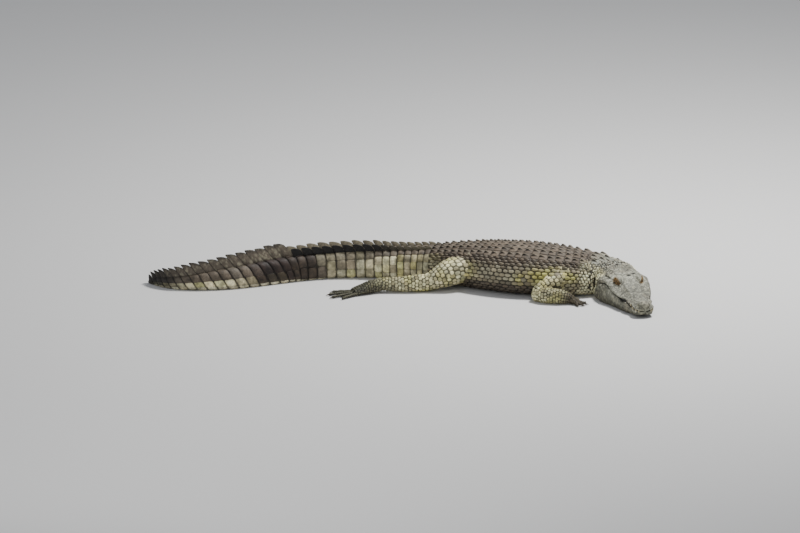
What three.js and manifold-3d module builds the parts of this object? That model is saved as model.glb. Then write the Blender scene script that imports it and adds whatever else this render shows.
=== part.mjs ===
// A Nile crocodile, life size, lying on flat ground with its head turned towards its right.
//
// Millimetres, +Z up, the ground at Z = 0. The body follows a spine that starts at the tail tip.
// A station is a distance along that spine, "across" is a distance to the animal's left of it,
// and "up" is a height above the ground. A girth is a place round a body section: 0 is the
// middle of the back, 1 the middle of the belly, and its sign is the side (+ is the left).

import * as THREE from 'three';
import { mergeVertices } from 'three/addons/utils/BufferGeometryUtils.js';
import Module from 'manifold-3d';

const wasm = await Module();
wasm.setup();

const { clamp, degToRad, lerp } = THREE.MathUtils;

// ---------------------------------------------------------------- driving dimensions

const GAP = 0.3; // clearance between neighbouring parts
const TAIL_TIP = [-1021.4, 23.8]; // where the spine starts on the ground
const SPINE_STEP = 2; // length of one step along the spine

// Stations of the cuts between parts.
const TAIL_TIP_END = 350;
const TAIL_MIDDLE_END = 760;
const VENT = 1245;
const NECK_START = 1900;
const SKULL_BACK = 2065;
const SKULL_LENGTH = 366;

// Bearing of the spine in degrees: 0 points along +X, negative turns to the animal's right.
const HEADING = profile([
  [0, -55], [90, -38], [180, -10], [300, 10], [430, 23], [560, 29], [700, 24], [840, 10],
  [980, -3], [1290, -17], [1450, -21], [1600, -17], [1735, -10], [1845, -5], [1925, -18],
  [1985, -35], [2045, -66], [2090, -74.5],
]);

// Half-width and height of the body at a station.
const HALF_WIDTH = profile([
  [0, 5], [40, 9], [157, 16], [305, 25], [564, 37], [900, 51], [1160, 74], [1250, 92],
  [1360, 122], [1500, 158], [1640, 178], [1780, 172], [1880, 146], [1960, 118], [2065, 92],
]);
const HEIGHT = profile([
  [0, 12], [40, 30], [157, 54], [305, 78], [564, 103], [900, 116], [1160, 130], [1360, 157],
  [1500, 172], [1640, 176], [1780, 168], [1880, 153], [1960, 138], [2065, 116],
]);
const WAIST = profile([[0, 0.45], [1100, 0.45], [1400, 0.4], [1800, 0.38], [2065, 0.45]]);
const UPPER_FULLNESS = profile([[0, 2.6], [600, 2.7], [1000, 2.5], [1300, 2.3], [2065, 2.3]]);
const LOWER_FULLNESS = profile([[0, 2.6], [1000, 2.8], [1300, 2.6], [2065, 2.6]]);
const BELLY_SINK = 0.1; // share by which the belly's curve is cut off flat by the ground
const FLAT_GIRTH = 0.86; // the girth at which the flat of the belly starts

// The head, along x from the back of the skull (0) to the snout tip (350 before scaling).
const HEAD_MODEL = 350;
const HEAD_SCALE = SKULL_LENGTH / HEAD_MODEL;
const HEAD_RISE = 1.03; // scale of the heights of the head
const HEAD_REACH = -40; // how far the head's shape runs back into the neck
const HEAD_BLEND = { before: 70, past: 10 }; // where the neck goes over into the head, from the skull's back
const RIDGE = profile([
  [-40, 126], [0, 117], [60, 116], [90, 113], [120, 104], [150, 91], [190, 79], [230, 69],
  [270, 60], [322, 54], [338, 47], [350, 30],
]);
const CROWN = profile([
  [-40, 60], [0, 46], [60, 42], [115, 38], [150, 33], [190, 27], [230, 24], [270, 20],
  [322, 24], [338, 18], [350, 3],
]);
const SIDE = profile([
  [-40, 98], [0, 97], [60, 94], [90, 88], [120, 80], [150, 74], [190, 66], [225, 61],
  [245, 59], [270, 47], [288, 37], [305, 41], [322, 41], [336, 33], [345, 20], [350, 5],
]);
const LIP = profile([
  [-40, 55], [0, 58], [28, 66], [60, 74], [85, 78], [102, 75], [120, 67], [140, 58],
  [177, 50], [205, 48], [234, 46], [250, 43], [266, 42], [280, 42], [292, 39], [305, 35],
  [322, 32], [350, 28],
]);
const JAW = profile([
  [-40, 103], [0, 107], [60, 105], [91, 97], [151, 77], [217, 60], [245, 54], [288, 40],
  [322, 36], [338, 28], [350, 4],
]);
const LIP_SHARE = 0.965; // the lip's half-width as a share of the side's
const CHIN_SHARE = 0.9; // half-width of the jaw's flat underside as a share of the jaw's
const CROWN_DROP = 3.5; // how far the edge of the crown lies below its ridge
const CHIN = profile([[0, 0], [190, 0], [300, 8], [335, 12], [350, 20]]); // height of the underside
const SNOUT_ROUND = 330; // where the snout rounds off to its tip

// Scales that shape the outline.
const WHORL_PITCH = profile([[0, 24], [120, 30], [300, 38], [480, 41], [800, 40], [960, 36], [1035, 31], [1245, 26]]);
const FIRST_WHORL = 14;
const SINGLE_CREST_END = 640;
const CREST_HEIGHT = profile([[0, 14], [40, 22], [157, 34], [305, 46], [564, 56], [640, 50]]);
const CREST_LEAN = degToRad(38);
const CREST_ROOT = 7; // depth that a crest plate goes into the tail
const CREST_THICKNESS = 9;
const CREST_GIRTH = 0.02; // the girth whose height a crest plate stands on
// The outline of a crest plate at shares of its height: its reach to the front and to the rear as
// shares of a whorl, and its thickness as a share of the root's.
const SINGLE_LEAF = [
  { share: 0, front: 0.49, rear: 0.49, thin: 1 },
  { share: 0.72, front: 0.42, rear: 0.47, thin: 0.7 },
  { share: 1, front: -0.1, rear: 0.36, thin: 0.3 },
];
const TWIN_LEAF = [
  { share: 0, front: 0.47, rear: 0.47, thin: 1 },
  { share: 1, front: 0, rear: 0.36, thin: 0.3 },
];
const TWIN_CREST_HEIGHT = profile([[640, 34], [760, 28], [1245, 12]]);
const TWIN_CREST_ACROSS = profile([[640, 11], [760, 22], [1245, 34]]);
const SCUTE_ROW = 39; // length of one row of back scutes
const SCUTE_STEP = 0.2; // share of a scute row over which it drops from its keels to the next row
const KEEL = 6; // height of a back scute's keel
const BACK_SHARE = 0.87; // share of the half-width that the back scutes cover
const BACK_COLUMNS = 8; // half scutes from the middle of the back to their edge
const FLANK_STEPS = 3; // steps from the back scutes to the flat of the belly
const NAPE_SHIELDS = [[1985, 17], [1947, 19], [1968, 52]]; // station and across, on both sides
const SHIELD = { reach: 19, rise: 7, front: 10, rear: 13 };

// Eyes, nose and teeth, in the head's own model units.
const EYE = { x: 118, across: 45, up: 98, radius: 12.5 };
const BROW = { x: 114, across: 42, up: 98, long: 26, wide: 13.5, tall: 13.5 };
const NOSE = { x: 326, up: 51, long: 17, wide: 17, tall: 9 };
const TOOTH_RADIUS = 3.6;
const TOOTH_TIP_RADIUS = 1;
const TOOTH_LENGTH = 9;
const TOOTH_ROOT = 6; // depth of a tooth in its jaw
const TOOTH_INSET = { upper: -1, lower: 2 }; // how far inside the jaw's side a row of teeth stands
const UPPER_TEETH = [160, 198, 236, 310, 331];
const LOWER_TEETH = [290];

// Limbs: joints as [forward, outward, up] from the spine at the girdle's station.
const SHOULDER_GIRDLE = { station: 1836, leftSwing: 0 };
const HIP_GIRDLE = { station: 1394, leftSwing: 16 }; // the left leg lies closer to the tail
const LIMB_SIDES = 8;
const PALM_SIDES = 6;
const DIGIT_SIDES = 5;
const CLAWED_DIGITS = 3;
const DIGIT_THINNING = 0.045; // how much thinner each digit is than the one inside it
const DIGIT_ROOT_WIDTH = 1.1; // a digit's half-width at its root, as a share of its radius
const DIGIT_TIP = 0.72; // its half-size at its tip, which is also how high the tip lies
const CLAW_ROOT = 0.5; // a claw's half-size at its root, as a share of the digit's radius
const CLAW_TIP = 0.35; // and at its tip, as a share of that at its root
const CAP_REACH = 0.5; // how far a limb's rounded end runs on, as a share of its half-size
const CAP_SHARE = 0.55; // the size of that end, as a share of the stop before it
const CLAW_TIP_UP = 2.5;
const WEB_BOTTOM = 1.5;
const WEB_THICKNESS = 4;
const WEB_EDGE = 0.86; // how far the web's edge draws in between two digits

const COLOURS = {
  hide: 0x8b8466,
  back: 0x6f6a5a,
  head: 0x97937c,
  tail: 0x7c765c,
  limb: 0x84804f,
  claw: 0x4a4438,
  eye: 0x8a6a2a,
};

// ---------------------------------------------------------------- curves and frames

/** A smooth curve through [station, value] pairs, which never overshoots them. */
function profile(pairs) {
  const at = pairs.map(([station]) => station);
  const value = pairs.map(([, amount]) => amount);
  const secant = at.slice(1).map((station, i) => (value[i + 1] - value[i]) / (station - at[i]));
  const slope = at.map((_, i) => {
    if (i === 0) return secant[0];
    if (i === at.length - 1) return secant[i - 1];
    const product = secant[i - 1] * secant[i];
    return product <= 0 ? 0 : (2 * product) / (secant[i - 1] + secant[i]);
  });
  return (station) => {
    const x = Math.min(Math.max(station, at[0]), at[at.length - 1]);
    let i = 0;
    while (i < at.length - 2 && at[i + 1] <= x) i += 1;
    const span = at[i + 1] - at[i];
    const u = (x - at[i]) / span;
    const start = (2 * u ** 3 - 3 * u ** 2 + 1) * value[i] + (u ** 3 - 2 * u ** 2 + u) * span * slope[i];
    return start + (3 * u ** 2 - 2 * u ** 3) * value[i + 1] + (u ** 3 - u ** 2) * span * slope[i + 1];
  };
}

function smoothstep(from, to, x) {
  const u = clamp((x - from) / (to - from), 0, 1);
  return u * u * (3 - 2 * u);
}

/** Points of the spine on the ground, one for each SPINE_STEP. */
function traceSpine() {
  const points = [new THREE.Vector2(...TAIL_TIP)];
  for (let station = 0; station < SKULL_BACK + SKULL_LENGTH; station += SPINE_STEP) {
    const bearing = degToRad(HEADING(station + SPINE_STEP / 2));
    const stride = new THREE.Vector2(Math.cos(bearing), Math.sin(bearing)).multiplyScalar(SPINE_STEP);
    points.push(points[points.length - 1].clone().add(stride));
  }
  return points;
}

const SPINE = traceSpine();

/** Body coordinates to a point in the part's frame. */
function place(station, across, up) {
  const step = Math.min(Math.floor(station / SPINE_STEP), SPINE.length - 2);
  const ground = SPINE[step].clone().lerp(SPINE[step + 1], station / SPINE_STEP - step);
  const bearing = degToRad(HEADING(station));
  return new THREE.Vector3(
    ground.x - Math.sin(bearing) * across,
    ground.y + Math.cos(bearing) * across,
    up,
  );
}

/** The head's model units to a point in the part's frame. */
function placeOnHead(x, across, up) {
  return place(SKULL_BACK + x * HEAD_SCALE, across * HEAD_SCALE, up * HEAD_RISE);
}

/** A point given from a girdle as [forward, outward, up], on side +1 (left) or -1 (right). */
function placeOnGirdle(girdle, side, [forward, outward, up]) {
  const origin = place(girdle.station, 0, 0);
  const swing = side > 0 ? girdle.leftSwing : 0;
  const bearing = degToRad(HEADING(girdle.station) + swing);
  const left = outward * side;
  return new THREE.Vector3(
    origin.x + Math.cos(bearing) * forward - Math.sin(bearing) * left,
    origin.y + Math.sin(bearing) * forward + Math.cos(bearing) * left,
    up,
  );
}

// ---------------------------------------------------------------- sections

/** Across (never negative) and up of the body's section at a girth from 0 to 1. */
function bodySection(station, girth, grow = 0) {
  const height = HEIGHT(station);
  const waist = height * WAIST(station);
  const fullness = girth < 0.5 ? UPPER_FULLNESS(station) : LOWER_FULLNESS(station);
  const angle = (0.5 - girth) * Math.PI;
  const outward = Math.abs(Math.cos(angle)) ** (2 / fullness);
  const upward = Math.abs(Math.sin(angle)) ** (2 / fullness);
  const across = (HALF_WIDTH(station) + grow) * outward;
  if (girth < 0.5) return [across, waist + (height - waist + grow) * upward];
  return [across, Math.max(-grow, waist - (waist * (1 + BELLY_SINK) + grow) * upward)];
}

/** The girth at which the body's section reaches a share of its half-width above the waist. */
function girthAtShare(station, share) {
  return 0.5 - Math.acos(share ** (UPPER_FULLNESS(station) / 2)) / Math.PI;
}

// Girths of the head's landmarks: ridge, slope, crown, temple, side, lip, jaw, floor, middle.
const LANDMARK_GIRTHS = [0, 0.1, 0.2, 0.33, 0.45, 0.5, 0.6, 0.78, 1];
const LIP_GIRTH = 0.5;

/** The landmarks of the head's section at x, as [across, up] pairs from ridge to underside. */
function headLandmarks(x) {
  const ridge = RIDGE(x);
  const crown = [CROWN(x), ridge - CROWN_DROP * (1 - smoothstep(SNOUT_ROUND, HEAD_MODEL, x))];
  const lip = [SIDE(x) * LIP_SHARE, LIP(x)];
  const side = [SIDE(x), lerp(lip[1], crown[1], 0.25)];
  const jaw = [JAW(x), lip[1] / 2 + 2];
  const floor = [jaw[0] * CHIN_SHARE, CHIN(x)];
  return [
    [0, ridge],
    [crown[0] * 0.5, lerp(crown[1], ridge, 0.75)],
    crown,
    [lerp(crown[0], side[0], 0.55), lerp(crown[1], side[1], 0.58)],
    side,
    lip,
    jaw,
    floor,
    [0, floor[1]],
  ];
}

/** One coordinate of a smooth curve through the landmarks; it is mirrored at both ends. */
function throughLandmarks(values, girth, mirror) {
  const knots = [-LANDMARK_GIRTHS[1], ...LANDMARK_GIRTHS, 2 - LANDMARK_GIRTHS.at(-2)];
  const padded = [mirror * values[1], ...values, mirror * values.at(-2)];
  let i = 0;
  while (i < values.length - 2 && LANDMARK_GIRTHS[i + 1] <= girth) i += 1;
  const slope = (k) => (padded[k + 2] - padded[k]) / (knots[k + 2] - knots[k]);
  const span = LANDMARK_GIRTHS[i + 1] - LANDMARK_GIRTHS[i];
  const u = (girth - LANDMARK_GIRTHS[i]) / span;
  const start = (2 * u ** 3 - 3 * u ** 2 + 1) * values[i] + (u ** 3 - 2 * u ** 2 + u) * span * slope(i);
  const end = (3 * u ** 2 - 2 * u ** 3) * values[i + 1] + (u ** 3 - u ** 2) * span * slope(i + 1);
  return start + end;
}

/** Across and up of the head's section, in millimetres. */
function headSection(x, girth) {
  const landmarks = headLandmarks(x);
  const across = throughLandmarks(landmarks.map(([value]) => value), girth, -1);
  const up = throughLandmarks(landmarks.map(([, value]) => value), girth, 1);
  return [across * HEAD_SCALE, Math.max(0, up) * HEAD_RISE];
}

/** The section of the whole animal: the body's, going over into the head's at the neck. */
function section(station, girth, grow = 0) {
  const body = bodySection(Math.min(station, SKULL_BACK), girth, grow);
  const x = clamp((station - SKULL_BACK) / HEAD_SCALE, HEAD_REACH, HEAD_MODEL);
  const head = headSection(x, girth);
  const share = smoothstep(SKULL_BACK - HEAD_BLEND.before, SKULL_BACK + HEAD_BLEND.past, station);
  return [lerp(body[0], head[0], share), lerp(body[1], head[1], share)];
}

/** Girths from 0 to 1 and back to 0 on the other side, with a sign for the side. */
function roundTrip(halfGirths) {
  const right = halfGirths.slice(1, -1).reverse().map((girth) => -girth);
  return [...halfGirths, ...right];
}

function evenGirths(count, from = 0, to = 1) {
  return Array.from({ length: count + 1 }, (_, i) => lerp(from, to, i / count));
}

/** Stations from one cut to the next, about a pitch apart. */
function evenStations(from, to, pitch) {
  const count = Math.max(1, Math.round((to - from) / pitch));
  return Array.from({ length: count + 1 }, (_, i) => lerp(from, to, i / count));
}

// ---------------------------------------------------------------- solids

/** A closed geometry lofted through rings of equal size, with a fan over each end. */
function loft(rings) {
  const count = rings[0].length;
  const points = rings.flat();
  const faces = [];
  for (let ring = 0; ring + 1 < rings.length; ring += 1) {
    for (let i = 0; i < count; i += 1) {
      const a = ring * count + i;
      const b = ring * count + ((i + 1) % count);
      faces.push([a, b, a + count], [b, b + count, a + count]);
    }
  }
  [[rings[0], 0, false], [rings.at(-1), (rings.length - 1) * count, true]].forEach(([ring, base, last]) => {
    const centre = ring.reduce((sum, point) => sum.add(point), new THREE.Vector3());
    points.push(centre.divideScalar(count));
    for (let i = 0; i < count; i += 1) {
      const edge = [base + i, base + ((i + 1) % count)];
      faces.push(last ? [edge[0], edge[1], points.length - 1] : [edge[1], edge[0], points.length - 1]);
    }
  });
  return facingOut(points, faces);
}

/** A geometry from points and triangles, turned so that its faces point out. */
function facingOut(points, faces) {
  const volume = faces.reduce((sum, [a, b, c]) => {
    return sum + points[a].dot(new THREE.Vector3().crossVectors(points[b], points[c]));
  }, 0);
  const turned = volume < 0 ? faces.map(([a, b, c]) => [a, c, b]) : faces;
  const geometry = new THREE.BufferGeometry();
  geometry.setAttribute('position', new THREE.Float32BufferAttribute(points.flatMap((p) => p.toArray()), 3));
  geometry.setIndex(turned.flat());
  return geometry;
}

/** A solid for joining and cutting. */
function solid(geometry) {
  const bare = geometry.clone();
  bare.deleteAttribute('normal');
  bare.deleteAttribute('uv');
  const merged = mergeVertices(bare, 1e-3);
  return new wasm.Manifold(new wasm.Mesh({
    numProp: 3,
    vertProperties: new Float32Array(merged.attributes.position.array),
    triVerts: new Uint32Array(merged.index.array),
  }));
}

function geometryOf(body) {
  const mesh = body.getMesh();
  const geometry = new THREE.BufferGeometry();
  geometry.setAttribute('position', new THREE.BufferAttribute(mesh.vertProperties, 3));
  geometry.setIndex(new THREE.BufferAttribute(mesh.triVerts, 1));
  return geometry;
}

function join(first, others) {
  return others.reduce((sum, other) => sum.add(other), first);
}

function cut(first, others) {
  return others.reduce((rest, other) => rest.subtract(other), first);
}

/** The end ring of a part, set back from the cut by half a gap along the spine. */
function setBack(ring, station, direction) {
  const bearing = degToRad(HEADING(station));
  const shift = new THREE.Vector3(Math.cos(bearing), Math.sin(bearing), 0);
  return ring.map((point) => point.clone().addScaledVector(shift, (direction * GAP) / 2));
}

/** A length of the body between two cuts. */
function bodyLength(stations, ringAt) {
  const rings = stations.map(ringAt);
  rings[0] = setBack(rings[0], stations[0], 1);
  rings[rings.length - 1] = setBack(rings.at(-1), stations.at(-1), -1);
  return solid(loft(rings));
}

function bodyRing(station, girths, grow = 0) {
  return girths.map((girth) => {
    const [across, up] = section(station, Math.abs(girth), grow);
    return place(station, Math.sign(girth) * across, up);
  });
}

/**
 * A solid along a path of stops { at, wide, tall }: oval rings of those half-sizes, kept above
 * the ground.
 */
function sweep(path, sides, grow = 0) {
  const rings = path.map((stop, i) => {
    const before = path[Math.max(i - 1, 0)].at;
    const after = path[Math.min(i + 1, path.length - 1)].at;
    const along = after.clone().sub(before).normalize();
    const level = new THREE.Vector3(0, 0, 1).cross(along).normalize();
    const upright = along.clone().cross(level);
    return Array.from({ length: sides }, (_, k) => {
      const angle = (2 * Math.PI * k) / sides;
      const point = stop.at.clone();
      point.addScaledVector(level, Math.cos(angle) * (stop.wide + grow));
      point.addScaledVector(upright, Math.sin(angle) * (stop.tall + grow));
      point.z = Math.max(point.z, -grow);
      return point;
    });
  });
  return solid(loft(rings));
}

/** A stop past the end of a path: smaller where the end is rounded, equal where it is plain. */
function stopPast(end, inner, reach, share) {
  const outward = end.at.clone().sub(inner.at).normalize();
  const at = end.at.clone().addScaledVector(outward, reach);
  return { at, wide: end.wide * share, tall: end.tall * share };
}

/** A sweep with short rounded ends; grow widens it and lengthens it at both ends. */
function roundedSweep(stops, sides, grow = 0) {
  const reach = (end) => Math.min(end.wide, end.tall) * CAP_REACH + grow;
  const first = stopPast(stops[0], stops[1], reach(stops[0]), CAP_SHARE);
  const last = stopPast(stops.at(-1), stops.at(-2), reach(stops.at(-1)), CAP_SHARE);
  return sweep([first, ...stops, last], sides, grow);
}

/** An ellipsoid on the head, with its long axis along the snout. */
function headEllipsoid(x, across, up, long, wide, tall, columns = 8, rows = 6) {
  const geometry = new THREE.SphereGeometry(1, columns, rows);
  geometry.scale(long * HEAD_SCALE, wide * HEAD_SCALE, tall * HEAD_RISE);
  geometry.rotateZ(degToRad(HEADING(SKULL_BACK + x * HEAD_SCALE)));
  const centre = placeOnHead(x, across, up);
  geometry.translate(centre.x, centre.y, centre.z);
  return solid(geometry);
}

// ---------------------------------------------------------------- tail

/** Stations of the scale rings from the tail tip to the vent. */
function whorls() {
  const stations = [];
  for (let station = FIRST_WHORL; station < VENT; station += WHORL_PITCH(station)) stations.push(station);
  return stations;
}

const WHORLS = whorls();

/** A crest plate: a broad leaf on a long root, leaning back, with its tip at the rear. */
function crestPlate(station, across, height, lean) {
  const pitch = WHORL_PITCH(station);
  const thick = Math.min(CREST_THICKNESS, HALF_WIDTH(station)) / 2;
  const [, top] = section(station, CREST_GIRTH);
  const levels = across === 0 ? SINGLE_LEAF : TWIN_LEAF;
  const rings = levels.map(({ share, front, rear, thin }) => {
    const rise = share > 0 ? share * height : -CREST_ROOT;
    const middle = station - Math.max(rise, 0) * Math.tan(lean);
    const [long, back, wide] = [front * pitch, rear * pitch, thin * thick];
    return [[long, 0], [(long - back) / 2, wide], [-back, 0], [(long - back) / 2, -wide]].map(([along, aside]) => {
      return place(Math.max(middle + along, 0), across + aside, top + rise);
    });
  });
  return solid(loft(rings));
}

/** The crest plates whose stations lie on one length of the tail. */
function crest(from, to) {
  const plates = [];
  WHORLS.filter((station) => station > from && station < to).forEach((station) => {
    if (station < SINGLE_CREST_END) {
      plates.push(crestPlate(station, 0, CREST_HEIGHT(station), CREST_LEAN));
    } else {
      [1, -1].forEach((side) => {
        const across = side * TWIN_CREST_ACROSS(station);
        plates.push(crestPlate(station, across, TWIN_CREST_HEIGHT(station), CREST_LEAN / 2));
      });
    }
  });
  return plates;
}

const TAIL_GIRTHS = [...evenGirths(5, 0, FLAT_GIRTH), 1]; // their last step is the flat underneath
const LEAST_RING_PITCH = 12; // the least distance from a cut to the next ring of the tail

/** A length of the tail with its crest, which stops short of both cuts. */
function tailLength(from, to) {
  const [first, last] = [from + LEAST_RING_PITCH, to - LEAST_RING_PITCH];
  const inner = WHORLS.filter((station, i) => i % 2 === 0 && station > first && station < last);
  const girths = roundTrip(TAIL_GIRTHS);
  const body = bodyLength([from, ...inner, to], (station) => bodyRing(station, girths));
  const ends = [slab(from, -1), slab(to, 1)];
  return cut(join(body, crest(from, to)), ends);
}

const SLAB = { depth: 60, half: 120 };

/** A wide block past a cut, on the side of direction, which trims what leans over the cut. */
function slab(station, direction) {
  const { depth, half } = SLAB;
  const near = setBack([[-half, -half], [half, -half], [half, 3 * half], [-half, 3 * half]].map(
    ([across, up]) => place(station, across, up),
  ), station, -direction);
  const bearing = degToRad(HEADING(station));
  const shift = new THREE.Vector3(Math.cos(bearing), Math.sin(bearing), 0).multiplyScalar(direction * depth);
  return solid(loft([near, near.map((point) => point.clone().add(shift))]));
}

// ---------------------------------------------------------------- trunk and neck

/** Girths of a trunk ring: the back's half scutes first, then the flank and belly. */
function trunkGirths(station) {
  const back = evenGirths(BACK_COLUMNS, 0, BACK_SHARE).map((share) => girthAtShare(station, share));
  const flank = evenGirths(FLANK_STEPS, back.at(-1), FLAT_GIRTH).slice(1);
  return roundTrip([...back, ...flank, 1]);
}

/** A trunk ring; the keels of the back scutes rise on the rear ring of each row. */
function trunkRing(station, rear, grow = 0) {
  const girths = trunkGirths(station);
  const ring = bodyRing(station, girths, grow);
  if (!rear) return ring;
  const columnOf = (i) => Math.min(i, girths.length - i);
  return ring.map((point, i) => {
    const keeled = columnOf(i) % 2 === 1 && columnOf(i) < BACK_COLUMNS;
    return keeled ? point.clone().setZ(point.z + KEEL) : point;
  });
}

/** Stations of the trunk's rings: the rear edge of each scute row and the front of the next. */
function trunkStations() {
  const rows = evenStations(VENT, NECK_START, SCUTE_ROW);
  const stations = [{ station: VENT, rear: false }];
  rows.slice(1, -1).forEach((station) => {
    stations.push({ station: station - SCUTE_ROW * SCUTE_STEP, rear: false });
    stations.push({ station, rear: true });
  });
  stations.push({ station: NECK_START, rear: false });
  return stations;
}

function trunk(grow = 0) {
  const stations = trunkStations();
  const rings = stations.map(({ station, rear }) => trunkRing(station, rear, grow));
  rings[0] = setBack(rings[0], VENT, grow > 0 ? -1 : 1);
  rings[rings.length - 1] = setBack(rings.at(-1), NECK_START, grow > 0 ? 1 : -1);
  return solid(loft(rings));
}

/** The raised shields on the nape: two pairs side by side and one more at each side. */
function napeShields() {
  const { reach, rise, front, rear } = SHIELD;
  return NAPE_SHIELDS.flatMap(([station, across]) => [1, -1].map((side) => {
    const girth = girthAtShare(station, across / HALF_WIDTH(station));
    const [, up] = section(station, girth);
    const stops = [
      { at: place(station - reach, side * across, up), wide: rear, tall: rise },
      { at: place(station + reach, side * across, up - rise / 3), wide: front, tall: rise / 2 },
    ];
    return sweep(stops, DIGIT_SIDES);
  }));
}

const NECK_RING_PITCH = 28;
const NECK_GIRTHS = [...evenGirths(8, 0, FLAT_GIRTH), 1]; // their last step is the flat of the throat

function neck() {
  const girths = roundTrip(NECK_GIRTHS);
  const stations = evenStations(NECK_START, SKULL_BACK, NECK_RING_PITCH);
  const body = bodyLength(stations, (station) => bodyRing(station, girths));
  return join(body, napeShields());
}

// ---------------------------------------------------------------- head

const HEAD_RINGS = [0, 40, 80, 110, 145, 185, 220, 245, 265, 288, 305, 322, 336, 345, 350];

/** Stations along the head, closer where its outline turns. */
function headStations() {
  return HEAD_RINGS.map((x) => SKULL_BACK + x * HEAD_SCALE);
}

const UPPER_HEAD_STEPS = 6; // from the ridge to the lip
const LOWER_HEAD_STEPS = 4; // from the lip to the middle of the underside
const LIP_CLEARANCE = GAP * 0.7; // how far each half of the head stands off the line of the lips

/** The upper or lower half of the head, closed by a sheet just off the line of the lips. */
function headHalf(fromGirth, toGirth, points, side) {
  const half = evenGirths(points, fromGirth, toGirth);
  const girths = fromGirth === 0 ? half : half.reverse();
  return bodyLength(headStations(), (station) => {
    const left = girths.map((girth) => {
      const [across, up] = section(station, girth);
      return { across, up: girth === LIP_GIRTH ? up + side * LIP_CLEARANCE : up };
    });
    const right = left.slice(1).reverse().map(({ across, up }) => ({ across: -across, up }));
    return [...left, ...right].map(({ across, up }) => place(station, across, up));
  });
}

/** A tooth at x on one side of the head, pointing down from the upper jaw or up from the lower. */
function tooth(x, side, down, grow = 0) {
  const direction = down ? -1 : 1;
  const across = side * (down ? SIDE(x) * LIP_SHARE - TOOTH_INSET.upper : JAW(x) - TOOTH_INSET.lower);
  const root = LIP(x) - direction * TOOTH_ROOT;
  const tip = LIP(x) + direction * TOOTH_LENGTH;
  const rings = [[root - direction * grow, TOOTH_RADIUS], [tip + direction * grow, TOOTH_TIP_RADIUS]];
  return solid(loft(rings.map(([up, radius]) => {
    return evenGirths(DIGIT_SIDES, 0, 2 * Math.PI).slice(1).map((angle) => {
      const reach = radius + grow;
      return placeOnHead(x + reach * Math.cos(angle), across + reach * Math.sin(angle), up);
    });
  })));
}

function teeth(xs, down, grow = 0) {
  return xs.flatMap((x) => [1, -1].map((side) => tooth(x, side, down, grow)));
}

function eye(side, grow = 0) {
  const radius = EYE.radius + grow;
  return headEllipsoid(EYE.x, side * EYE.across, EYE.up, radius, radius, radius);
}

function head() {
  const upper = headHalf(0, LIP_GIRTH, UPPER_HEAD_STEPS, 1);
  const brows = [1, -1].map((side) => {
    return headEllipsoid(BROW.x, side * BROW.across, BROW.up, BROW.long, BROW.wide, BROW.tall);
  });
  const nose = headEllipsoid(NOSE.x, 0, NOSE.up, NOSE.long, NOSE.wide, NOSE.tall);
  const shaped = join(upper, [...brows, nose, ...teeth(UPPER_TEETH, true)]);
  return cut(shaped, [eye(1, GAP), eye(-1, GAP), ...teeth(LOWER_TEETH, false, GAP)]);
}

function lowerJaw() {
  const lower = headHalf(LIP_GIRTH, 1, LOWER_HEAD_STEPS, -1);
  const shaped = join(lower, teeth(LOWER_TEETH, false));
  return cut(shaped, teeth(UPPER_TEETH, true, GAP));
}

// ---------------------------------------------------------------- limbs

/** The upper arm or thigh, forearm or shank, as stops from its root to its end. */
const FORELIMB = {
  upper: [
    { at: [-4, 104, 86], wide: 46, tall: 50 },
    { at: [-66, 162, 62], wide: 36, tall: 43 },
    { at: [-128, 198, 38], wide: 26, tall: 30 },
  ],
  lower: [
    { at: [-138, 206, 27], wide: 22, tall: 26 },
    { at: [-90, 226, 31], wide: 30, tall: 33 },
    { at: [-40, 233, 30], wide: 28, tall: 31 },
    { at: [6, 234, 22], wide: 20, tall: 20 },
  ],
  end: [
    { at: [17, 237, 16], wide: 19, tall: 15 },
    { at: [28, 239, 14], wide: 25, tall: 13 },
    { at: [37, 241, 12], wide: 24, tall: 10 },
  ],
  digits: { from: [30, 240, 9], bearing: 10, fan: [58, 27, 0, -27, -60], lengths: [28, 38, 41, 36, 27] },
  digitRadius: 7,
  knuckles: 15,
  webbed: 0,
  claw: 11,
};
const HINDLIMB = {
  upper: [
    { at: [28, 60, 88], wide: 66, tall: 52 },
    { at: [-18, 126, 76], wide: 62, tall: 56 },
    { at: [-84, 184, 46], wide: 40, tall: 42 },
  ],
  lower: [
    { at: [-92, 192, 38], wide: 32, tall: 37 },
    { at: [-150, 222, 36], wide: 32, tall: 35 },
    { at: [-215, 252, 33], wide: 26, tall: 30 },
    { at: [-272, 276, 34], wide: 23, tall: 28 },
  ],
  end: [
    { at: [-289, 290, 31], wide: 23, tall: 27 },
    { at: [-306, 304, 29], wide: 26, tall: 27 },
    { at: [-338, 332, 22], wide: 32, tall: 20 },
    { at: [-366, 357, 15], wide: 34, tall: 13 },
  ],
  digits: { from: [-354, 346, 10], bearing: 138, fan: [24, 8, -8, -24], lengths: [92, 114, 118, 96] },
  digitRadius: 9,
  knuckles: 40,
  webbed: 0.72,
  claw: 18,
};

/** Stops in a girdle's coordinates to stops in the part's frame. */
function stopsOn(girdle, side, stops) {
  return stops.map(({ at, wide, tall }) => ({ at: placeOnGirdle(girdle, side, at), wide, tall }));
}

/** Root and tip of a digit, as [forward, outward, up] from the girdle. */
function digitLine({ digits, digitRadius, knuckles }, index) {
  const bearing = degToRad(digits.bearing);
  const angle = bearing + degToRad(digits.fan[index]);
  const aside = knuckles * Math.sin(degToRad(digits.fan[index]));
  const root = [digits.from[0] - Math.sin(bearing) * aside, digits.from[1] + Math.cos(bearing) * aside];
  return [0, 1].map((share) => {
    const reach = digits.lengths[index] * share;
    const up = lerp(digits.from[2], digitRadius * DIGIT_TIP, share);
    return [root[0] + Math.cos(angle) * reach, root[1] + Math.sin(angle) * reach, up];
  });
}

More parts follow.
